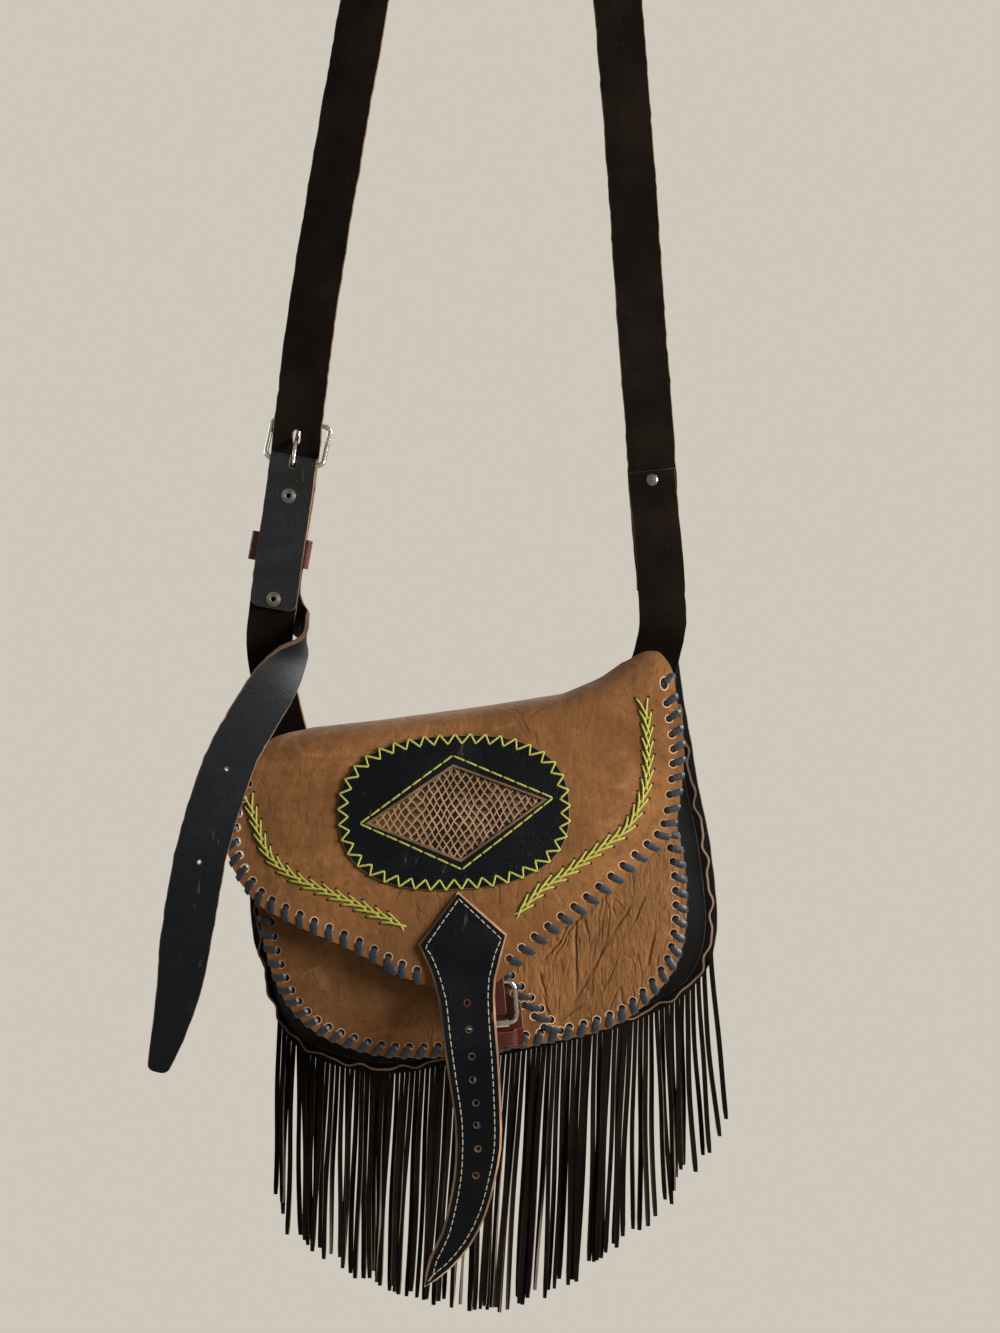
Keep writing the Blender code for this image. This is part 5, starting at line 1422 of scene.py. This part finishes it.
class BAG_OT_closure(bpy.types.Operator):
    """Build the pointed closure strap, its lining and its cream stitching"""
    bl_idname = "bag.closure"
    bl_label = "Closure strap"

    def execute(self, context):
        sizes = context.scene.bag_sizes
        lining_height = SUEDE / 2 + LAYER_GAP + LINING / 2
        surface = closure_surface(lining_height + LINING / 2 + 0.1 + CLOSURE / 2)
        holes = [circle(spot, HOLE_RADIUS * 0.85, 12) for spot in CLOSURE_HOLES]
        cut("closure_lining", closure_outline(-LINING_MARGIN), closure_surface(lining_height), LINING,
            ("lining_face",) * 3, "flap", "closure_strap_lining", holes, 4.0, 0.0, 0.3)
        cut("closure_leather", closure_outline(), surface, CLOSURE, BLACK, "flap", "closure_strap",
            holes, 3.5, 0.35, 0.5)
        line = closure_outline(2.9)
        line.append(line[0])
        count = round(polyline_lengths(line)[-1] / SEAM_PITCH)
        spots = resample(line, count * 8)
        radius = sizes.seam_radius / MM
        bm = bmesh.new()
        for i in range(count):
            ends = [spots[8 * i], spots[8 * i + round(8 * (1 - SEAM_PAUSE / SEAM_PITCH))]]
            thread(bm, surface, ends, CLOSURE / 2 + radius * 0.4, 0.1, radius, steps=4)
        dress("closure_stitching", bm, ("cream_thread",), "flap")
        return {"FINISHED"}

class BAG_OT_fringe(bpy.types.Operator):
    """Cut the fringe: one band and its hanging strands"""
    bl_idname = "bag.fringe"
    bl_label = "Fringe"

    def execute(self, context):
        sizes = context.scene.bag_sizes
        source = random.Random(11)
        line = []
        for x, z in reversed([p for p in rim_points(REAR_RIM, 240) if p[1] < -112.0]):
            if not line or x > line[-1][0] + 0.01:
                line.append((x, z))
        middle_y = BACK_FACE_Y - BACK - FIT - FRINGE / 2
        band = [(x, z + BAND_DEPTH) for x, z in line if FRINGE_LEFT < x < FRINGE_RIGHT]
        lower = [(x, z - 3.0) for x, z in line if FRINGE_LEFT < x < FRINGE_RIGHT]
        outline = lower + band[::-1]
        bm = sheet(outline, lambda x, z: Vector((x, middle_y, z)), FRINGE)
        pitch = (FRINGE_RIGHT - FRINGE_LEFT) / STRANDS
        half_width, half_thick = sizes.strand_width / MM / 2, sizes.strand_thickness / MM / 2
        corner = math.sqrt(2.0)
        for i in range(STRANDS):
            share = i / (STRANDS - 1)
            x = FRINGE_LEFT + pitch * (i + 0.5)
            fan = STRAND_FAN * (max(share - 0.55, 0) / 0.45) ** 2 + STRAND_DRIFT * max(1 - share / 0.3, 0)
            tip = interpolate(FRINGE_TIPS, share) + source.uniform(-4.0, 4.0)
            root = interpolate(line, x) - 0.5
            layer = (0.9 if i % 2 else -0.9) + source.uniform(-0.5, 0.5)
            clump = 5.5 * ripple(i * 0.55, 3.0, 1.0, 5.5)
            sway = clump + source.uniform(-1.0, 1.0)
            turn = source.uniform(-0.35, 0.35)
            spin = source.choice((-1, 1)) * source.uniform(0.0, 1.45) ** 3
            width = half_width * source.uniform(0.9, 1.06)
            wave = source.uniform(0, 6.28)
            stations = []
            steps = 18
            for k in range(steps + 1):
                t = k / steps
                z = root + (tip - root) * t
                loose = smooth_step(t * 1.6)
                dx = fan * t ** 1.2 + sway * t + 0.7 * math.sin(wave + 5.0 * t) * loose
                dy = -layer * smooth_step(t * 4) - 2.2 * loose * (0.5 + 0.5 * math.sin(wave * 1.7 + 4.0 * t))
                centre = Vector((x + dx, middle_y + dy, z))
                angle = turn * loose + spin * max(t - 0.15, 0) * 0.7
                side = Vector((math.cos(angle), math.sin(angle), 0))
                out = Vector((math.sin(angle), -math.cos(angle), 0))
                taper = 0.75 if k == steps else 1.0
                stations.append((centre, side, out, width * corner * taper, half_thick * corner))
            sweep(bm, stations, sides=4, turn=math.pi / 4, edge_index=1)
        faces = ("fringe_face", "fringe_edge", "fringe_face")
        dress("fringe_strands", bm, faces, "bag", ["fringe"], angle=30.0)
        return {"FINISHED"}


def rounded_width(width, length, radius):
    """Width along a strap whose far end has rounded corners."""
    def width_at(v):
        over = min(max(v - (length - radius), 0.0), radius)
        return width - 2 * (radius - math.sqrt(radius ** 2 - over ** 2))
    return width_at


def strap_sheet(name, surface, places, width_at, thickness, holes, finishes, node, spacing=5.0, wear=0.0):
    """A strap with slightly worn edges, cut to places along it."""
    right = [(width_at(v) / 2, v) for v in sorted(set(places))]
    outline = right + [(-u, v) for u, v in reversed(right)]
    outline = [(u * (1 + wear * ripple(v, u, 6.0, 1.1)), v) for u, v in outline]
    cut(name, outline, surface, thickness, finishes, "bag", node, holes, spacing, bevel=0.45)


class BAG_OT_strap(bpy.types.Operator):
    """Build the shoulder strap and the lower strap on the right"""
    bl_idname = "bag.strap"
    bl_label = "Shoulder strap"

    def execute(self, context):
        surface, length = ribbon_surface(strap_route())
        end_width = rounded_width(STRAP_WIDTH, length, 4.0)

        def width_at(v):
            taper = max(v - (length - TAIL_TAPER), 0.0) / TAIL_TAPER
            return end_width(v) - (STRAP_WIDTH - TAIL_END_WIDTH) * taper ** 1.6
        tail_start = find_along(surface, length, TAIL[4][0][2], -1)
        slot_at = find_along(surface, length, TONGUE_SLOT_Z, -1)
        holes = [slot(slot_at, *TONGUE_SLOT, 2.0), rivet_hole(surface, length)]
        holes += [circle((0.0, tail_start + distance), HOLE_RADIUS * 0.5, 10) for distance in TAIL_HOLES]
        strap_sheet("strap_leather", surface, stops(length, 4.0, (3.0, 2.0, 1.0, 0.4, 0.0)), width_at, STRAP, holes,
                    ("strap_black", "raw_edge", "rough_black"), "shoulder_strap", wear=0.04)
        surface, length = ribbon_surface(strap_stations(RIGHT_TAB))
        strap_sheet("strap_lower_leather", surface, stops(length, 4.0), lambda v: TAB_WIDTH, TAB,
                    [rivet_hole(surface, length)], BLACK, "strap_right_lower", wear=0.03)
        return {"FINISHED"}


def smooth_wire(name, points, radius, body, node, closed=False):
    """Round nickel wire through smooth points, made a mesh."""
    curve = bpy.data.curves.new(name, "CURVE")
    curve.dimensions = "3D"
    curve.bevel_depth = radius * MM
    curve.bevel_resolution = 5
    curve.use_fill_caps = not closed
    spline = curve.splines.new("POLY")
    dense = catmull([tuple(p) for p in points], 5, closed)
    spline.points.add(len(dense) - 1)
    for target, point in zip(spline.points, dense):
        target.co = (*to_world(point), 1.0)
    spline.use_cyclic_u = closed
    holder = add_object(name + "_line", curve)
    mesh = bpy.data.meshes.new_from_object(holder.evaluated_get(bpy.context.evaluated_depsgraph_get()))
    bpy.data.objects.remove(holder, do_unlink=True)
    bm = bmesh.new()
    bm.from_mesh(mesh)
    bpy.data.meshes.remove(mesh)
    bmesh.ops.remove_doubles(bm, verts=bm.verts, dist=1e-6)
    for face in bm.faces:
        face.material_index = 0
    dress(name, bm, ("nickel_plate",), body, [node])


class BAG_OT_strap_buckle(bpy.types.Operator):
    """Build the strap's tab, keeper and buckle"""
    bl_idname = "bag.strap_buckle"
    bl_label = "Strap buckle"

    def execute(self, context):
        self.build_tab()
        front = -TAB / 2 - FIT - KEEPER / 2
        back = STRAP_BEHIND + STRAP / 2 + FIT + KEEPER / 2
        rows = []
        for x, y in rounded_frame(KEEPER_WIDTH, back - front, 1.6):
            row = []
            for step in range(5):
                height = KEEPER_HEIGHT * (0.5 - step / 4)
                lean = STRAP_ACROSS * x + Vector((-STRAP_ACROSS.z, 0, STRAP_ACROSS.x)) * height
                row.append(Vector((KEEPER_CENTRE[0], (back + front) / 2 + y, KEEPER_CENTRE[1])) + lean)
            rows.append(row)
        rows.append(rows[0])
        bm = grid_sheet(rows, KEEPER)
        bmesh.ops.remove_doubles(bm, verts=bm.verts, dist=1e-6)
        inner = [f for f in bm.faces if len(f.verts) == 4 and all(len(e.link_faces) > 2 for e in f.edges)]
        bmesh.ops.delete(bm, geom=inner, context="FACES_ONLY")
        dress("strap_keeper_leather", bm, BURGUNDY, "bag", ["strap_keeper"])
        hinge, far = Vector(HINGE_BAR), Vector(FAR_BAR)
        along = far - hinge
        along -= STRAP_ACROSS * along.dot(STRAP_ACROSS)
        height = along.length
        along.normalize()
        middle = hinge + along * height / 2
        points = [middle + STRAP_ACROSS * u + along * v for u, v in rounded_frame(STRAP_BUCKLE_WIDTH, height, 4.0)]
        smooth_wire("strap_buckle_wire", points, STRAP_WIRE, "bag", "strap_buckle_frame", closed=True)
        ring = STRAP_WIRE + FIT + TONGUE_WIRE
        path = []
        for i in range(13):
            angle = math.radians(100 - 280 * i / 12)
            path.append((0.0, hinge.y + ring * math.cos(angle), hinge.z + ring * math.sin(angle)))
        path.append((0.0, *TONGUE_TURNS_AT))
        path.append((0.0, 1.0, TONGUE_SLOT_Z - 0.3))
        path.append((0.0, far.y + ring, far.z - 1.5))
        path.append((0.0, far.y + ring + 0.6, far.z + 2.5))
        lean = (far.x - hinge.x) / (far.z - hinge.z)
        placed_path = [(hinge.x + lean * (z - hinge.z), y, z) for _, y, z in path]
        smooth_wire("strap_buckle_pin", placed_path, TONGUE_WIRE, "bag", "strap_buckle_tongue")
        return {"FINISHED"}

    @staticmethod
    def build_tab():
        fold_radius = STRAP_WIRE + FIT + TAB / 2
        lean = (TAB_LONG[0][0] - HINGE_BAR[0]) / (TAB_LONG[0][2] - HINGE_BAR[2])
        centre = [Vector(point) for point in reversed(TAB_LONG)]
        for i in range(7):
            angle = math.pi * i / 6
            y, z = HINGE_BAR[1] + fold_radius * math.cos(angle), HINGE_BAR[2] + fold_radius * math.sin(angle)
            centre.append(Vector((HINGE_BAR[0] + lean * (z - HINGE_BAR[2]), y, z)))
        lying = -TAB - FIT
        bulge = -TAB / 2 - FIT - KEEPER - FIT - TAB / 2
        short = [
            (136.0, -6.1), (132.0, -4.4), (129.0, -3.1), (126.5, lying), (118.0, lying), (108.0, lying),
            (100.0, bulge), (90.0, bulge), (79.0, bulge), (71.0, lying), (60.0, lying),
            (TAB_SHORT_FOOT_Z + 4.9, lying),
        ]
        leaning = [(49.0, -118.9), (58.0, -118.2), (92.0, -115.2), (128.0, -112.0), (142.5, -110.6)]
        centre += [Vector((interpolate(leaning, z), y, z)) for z, y in short]
        surface, length = ribbon_surface([(point, STRAP_ACROSS) for point in centre])
        fold_start = polyline_lengths([tuple(p) for p in centre])[len(TAB_LONG)]
        half_turn = math.pi * fold_radius
        holes = [slot(fold_start + half_turn / 2, 2 * TONGUE_WIRE + 4 * FIT, half_turn + 10.0, 1.0)]
        for x, z in TAB_RIVETS:
            for low, high in ((0.0, fold_start), (fold_start + half_turn, length)):
                holes.append(circle(crossing(surface, low, high, x, z), EYELET_BARREL + FIT, 14))
        strap_sheet("strap_tab_leather", surface, stops(length, 2.0, (3.0, 2.0, 1.2, 0.6, 0.2, 0.0)),
                    rounded_width(TAB_WIDTH, length, 5.0), TAB, holes, ("rough_black", "raw_edge", "tab_black"),
                    "strap_left_tab", spacing=2.6, wear=0.015)


class BAG_OT_front_buckle(bpy.types.Operator):
    """Build the burgundy base, its keeper and the front buckle"""
    bl_idname = "bag.front_buckle"
    bl_label = "Front buckle"

    def execute(self, context):
        across, down = front_frame_axes()
        bar = front_bar_point()
        front = down.cross(across)
        self.build_base(across, down, bar)
        ring = FRONT_WIRE + FIT + BASE / 2
        centre = bar + down * LOOP_DROP - front * (ring - BASE / 2 - FIT - KEEPER / 2)
        half = BASE_WIDTH / 2
        shape = [(-half, 0), (-half + 3.5, 0), (-half + 5, -LOOP_RISE * 0.4), (-half + 7, -LOOP_RISE),
                 (half - 7, -LOOP_RISE), (half - 5, -LOOP_RISE * 0.4), (half - 3.5, 0), (half, 0)]
        rows = []
        for u, y in catmull(shape, 5):
            rows.append([centre + across * u + down * (LOOP_HEIGHT * (k / 4 - 0.5)) - front * min(y, 0.0)
                         for k in range(5)])
        loop = grid_sheet(rows, KEEPER)
        dress("closure_keeper_leather", loop, BURGUNDY, "bag", ["closure_keeper"])
        width, height = FRONT_BUCKLE_SIZE
        leaning = (down * height + Vector((0, -FRONT_FRAME_STAND, 0))).normalized()
        middle = bar + leaning * height / 2
        points = [middle + across * u + leaning * v for u, v in rounded_frame(width, height, 5.0)]
        smooth_wire("front_buckle_wire", points, FRONT_WIRE, "front_buckle", "front_buckle_frame", closed=True)
        ring = FRONT_WIRE + FIT + FRONT_TONGUE_WIRE
        path = []
        facing = leaning.cross(across)
        for i in range(15):
            angle = math.radians(280 - 280 * i / 14)
            path.append(bar + facing * ring * math.cos(angle) - leaning * ring * math.sin(angle))
        rest = ROLLER_RADIUS + FIT + FRONT_TONGUE_WIRE
        path.append(bar + facing * (ring + rest) / 2 + leaning * height * 0.5)
        path.append(bar + facing * rest + leaning * (height - 2))
        path.append(bar + facing * rest + leaning * (height + 3))
        smooth_wire("front_buckle_pin", path, FRONT_TONGUE_WIRE, "front_tongue", "front_buckle_tongue")
        return {"FINISHED"}

    @staticmethod
    def build_base(across, down, bar):
        ring = FRONT_WIRE + FIT + BASE / 2
        length = FRONT_BUCKLE_BAR[1] - BASE_FOOT
        back = across.cross(down)
        centre = [bar + back * ring + down * length * (1 - i / 6) for i in range(6)]
        for i in range(9):
            angle = math.pi * i / 8
            centre.append(bar + back * ring * math.cos(angle) - down * ring * math.sin(angle))
        lying = ring - BASE - FIT
        centre.append(bar + back * (lying - ring) / 2 + down * 4.0)
        for drop in (8.0, 8.0 + FOLD_TAIL / 2, 8.0 + FOLD_TAIL):
            centre.append(bar + back * lying + down * drop)
        surface, total = ribbon_surface([(point, across) for point in centre])
        half_turn = math.pi * ring

        def width_at(v):
            return BASE_WIDTH - (BASE_WIDTH - FOLD_WIDTH) * smooth_step((v - length + 14.0) / 8.0)
        opening = slot(length + half_turn / 2, 2 * FRONT_TONGUE_WIRE + 4 * FIT, half_turn + 9.0, 0.8)
        strap_sheet("buckle_base_leather", surface, stops(total, 1.2), width_at, BASE, [opening],
                    BURGUNDY, "buckle_tab", spacing=2.0)


class BAG_OT_stage(bpy.types.Operator):
    """Set the camera, the lamps and the pale ground"""
    bl_idname = "bag.stage"
    bl_label = "Stage"

    def execute(self, context):
        scene = context.scene
        scene.view_settings.view_transform = "Standard"
        look = bpy.data.cameras.new("camera")
        look.sensor_width = 36.0
        look.lens = LENS
        camera = add_object("camera", look)
        roll = math.radians(CAMERA_ROLL)
        c, s = math.cos(roll), math.sin(roll)
        turn = Matrix([[c, -s, 0], [0, 0, -1], [s, c, 0]]).to_4x4()
        place = to_world((VIEW_CENTRE[0], -VIEW_DISTANCE, VIEW_CENTRE[1]))
        camera.matrix_world = Matrix.Translation(place) @ turn
        scene.camera = camera
        pale = scene.bag_colours.backdrop
        self.light_world(scene, pale)
        for name, place, size, power, colour in LAMPS:
            lamp = bpy.data.lights.new(name, "AREA")
            lamp.shape = "DISK"
            lamp.size = size
            lamp.energy = power
            lamp.color = colour
            holder = add_object(name, lamp)
            holder.location = place
            holder.rotation_euler = (LAMP_AIM - Vector(place)).to_track_quat("-Z", "Y").to_euler()
        bm = bmesh.new()
        low = Matrix.Translation((0, 0, FLOOR_Z))
        bmesh.ops.create_circle(bm, cap_ends=True, segments=96, radius=0.8, matrix=low)
        mesh = bpy.data.meshes.new("floor")
        bm.to_mesh(mesh)
        bm.free()
        mesh.materials.append(self.floor_paint(pale))
        floor = add_object("floor", mesh)
        return {"FINISHED"}

    @staticmethod
    def floor_paint(pale):
        """Paint that the camera sees mostly at its own pale colour, with a soft share of light and shadow."""
        ground = Finish("floor_paint")
        paint = ground.mix(ground.noise(3.0, 2.0) * 0.3, shade(pale, 0.97), shade(pale, 1.03))
        ground.finish(paint, 0.9)
        plain = ground.node("ShaderNodeEmission", {}, {"Color": (*pale, 1.0), "Strength": 0.97})
        seen = ground.node("ShaderNodeLightPath", {}, {}) * 0.75
        body = Link(ground, ground.shader.outputs[0])
        blend = ground.node("ShaderNodeMixShader", {}, {0: seen, 1: body, 2: plain})
        output = ground.tree.nodes["Material Output"]
        ground.tree.links.new(blend.socket, output.inputs["Surface"])
        return ground.material

    @staticmethod
    def light_world(scene, pale):
        """The pale ground, at full strength for the camera and dimmed as light on the bag."""
        world = bpy.data.worlds.new("studio")
        scene.world = world
        world.use_nodes = True
        tree = world.node_tree
        ground = tree.nodes["Background"]
        ground.inputs["Color"].default_value = (*pale, 1.0)
        rays = tree.nodes.new("ShaderNodeLightPath")
        level = None
        for ray, strength in WORLD_LEVELS:
            term = tree.nodes.new("ShaderNodeMath")
            term.operation = "MULTIPLY_ADD"
            tree.links.new(rays.outputs[ray], term.inputs[0])
            term.inputs[1].default_value = strength
            term.inputs[2].default_value = 0.0
            if level:
                tree.links.new(level.outputs[0], term.inputs[2])
            level = term
        tree.links.new(level.outputs[0], ground.inputs["Strength"])


# Camera and lamps
LENS = 58.5
CAMERA_ROLL = 3.2
VIEW_CENTRE = (19.5, 26.9)
VIEW_DISTANCE = 1300.0
FLOOR_Z = -1.35
LAMP_AIM = Vector((0.02, 0.0, -0.65))
WORLD_LEVELS = (
    ("Is Camera Ray", 1.0), ("Is Transmission Ray", 1.0), ("Is Glossy Ray", 0.5), ("Is Diffuse Ray", 0.13),
)
LAMPS = (
    ("window", (0.98, -0.58, -0.36), 0.6, 18.0, (1.0, 0.95, 0.88)),
    ("room", (-1.1, -1.4, 0.1), 1.2, 1.9, (0.86, 0.93, 1.0)),
    ("back_light", (0.9, 1.1, 0.1), 0.9, 22.0, (0.92, 0.96, 1.0)),
    ("side_light", (-1.3, 0.5, -0.3), 0.8, 7.0, (0.95, 0.97, 1.0)),
)


class BAG_PT_panel(bpy.types.Panel):
    """Sizes, colours and building steps of the bag"""
    bl_idname = "BAG_PT_panel"
    bl_label = "Fringed suede bag"
    bl_space_type = "VIEW_3D"
    bl_region_type = "UI"
    bl_category = "Bag"

    def draw(self, context):
        layout = self.layout
        for group in (context.scene.bag_sizes, context.scene.bag_colours):
            column = layout.column(align=True)
            for key in group.__annotations__:
                column.prop(group, key)
        for operator in STEPS:
            layout.operator(operator.bl_idname)


STEPS = (
    BAG_OT_finishes, BAG_OT_body, BAG_OT_flap, BAG_OT_closure, BAG_OT_fringe, BAG_OT_strap, BAG_OT_strap_buckle,
    BAG_OT_front_buckle, BAG_OT_stage,
)
CLASSES = (BagSizes, BagColours) + STEPS + (BAG_PT_panel,)


def register():
    for item in CLASSES:
        bpy.utils.register_class(item)
    bpy.types.Scene.bag_sizes = bpy.props.PointerProperty(type=BagSizes)
    bpy.types.Scene.bag_colours = bpy.props.PointerProperty(type=BagColours)


def unregister():
    del bpy.types.Scene.bag_colours
    del bpy.types.Scene.bag_sizes
    for item in reversed(CLASSES):
        bpy.utils.unregister_class(item)


def main():
    register()
    for step in STEPS:
        group, name = step.bl_idname.split(".")
        getattr(getattr(bpy.ops, group), name)()


if __name__ == "__main__":
    main()
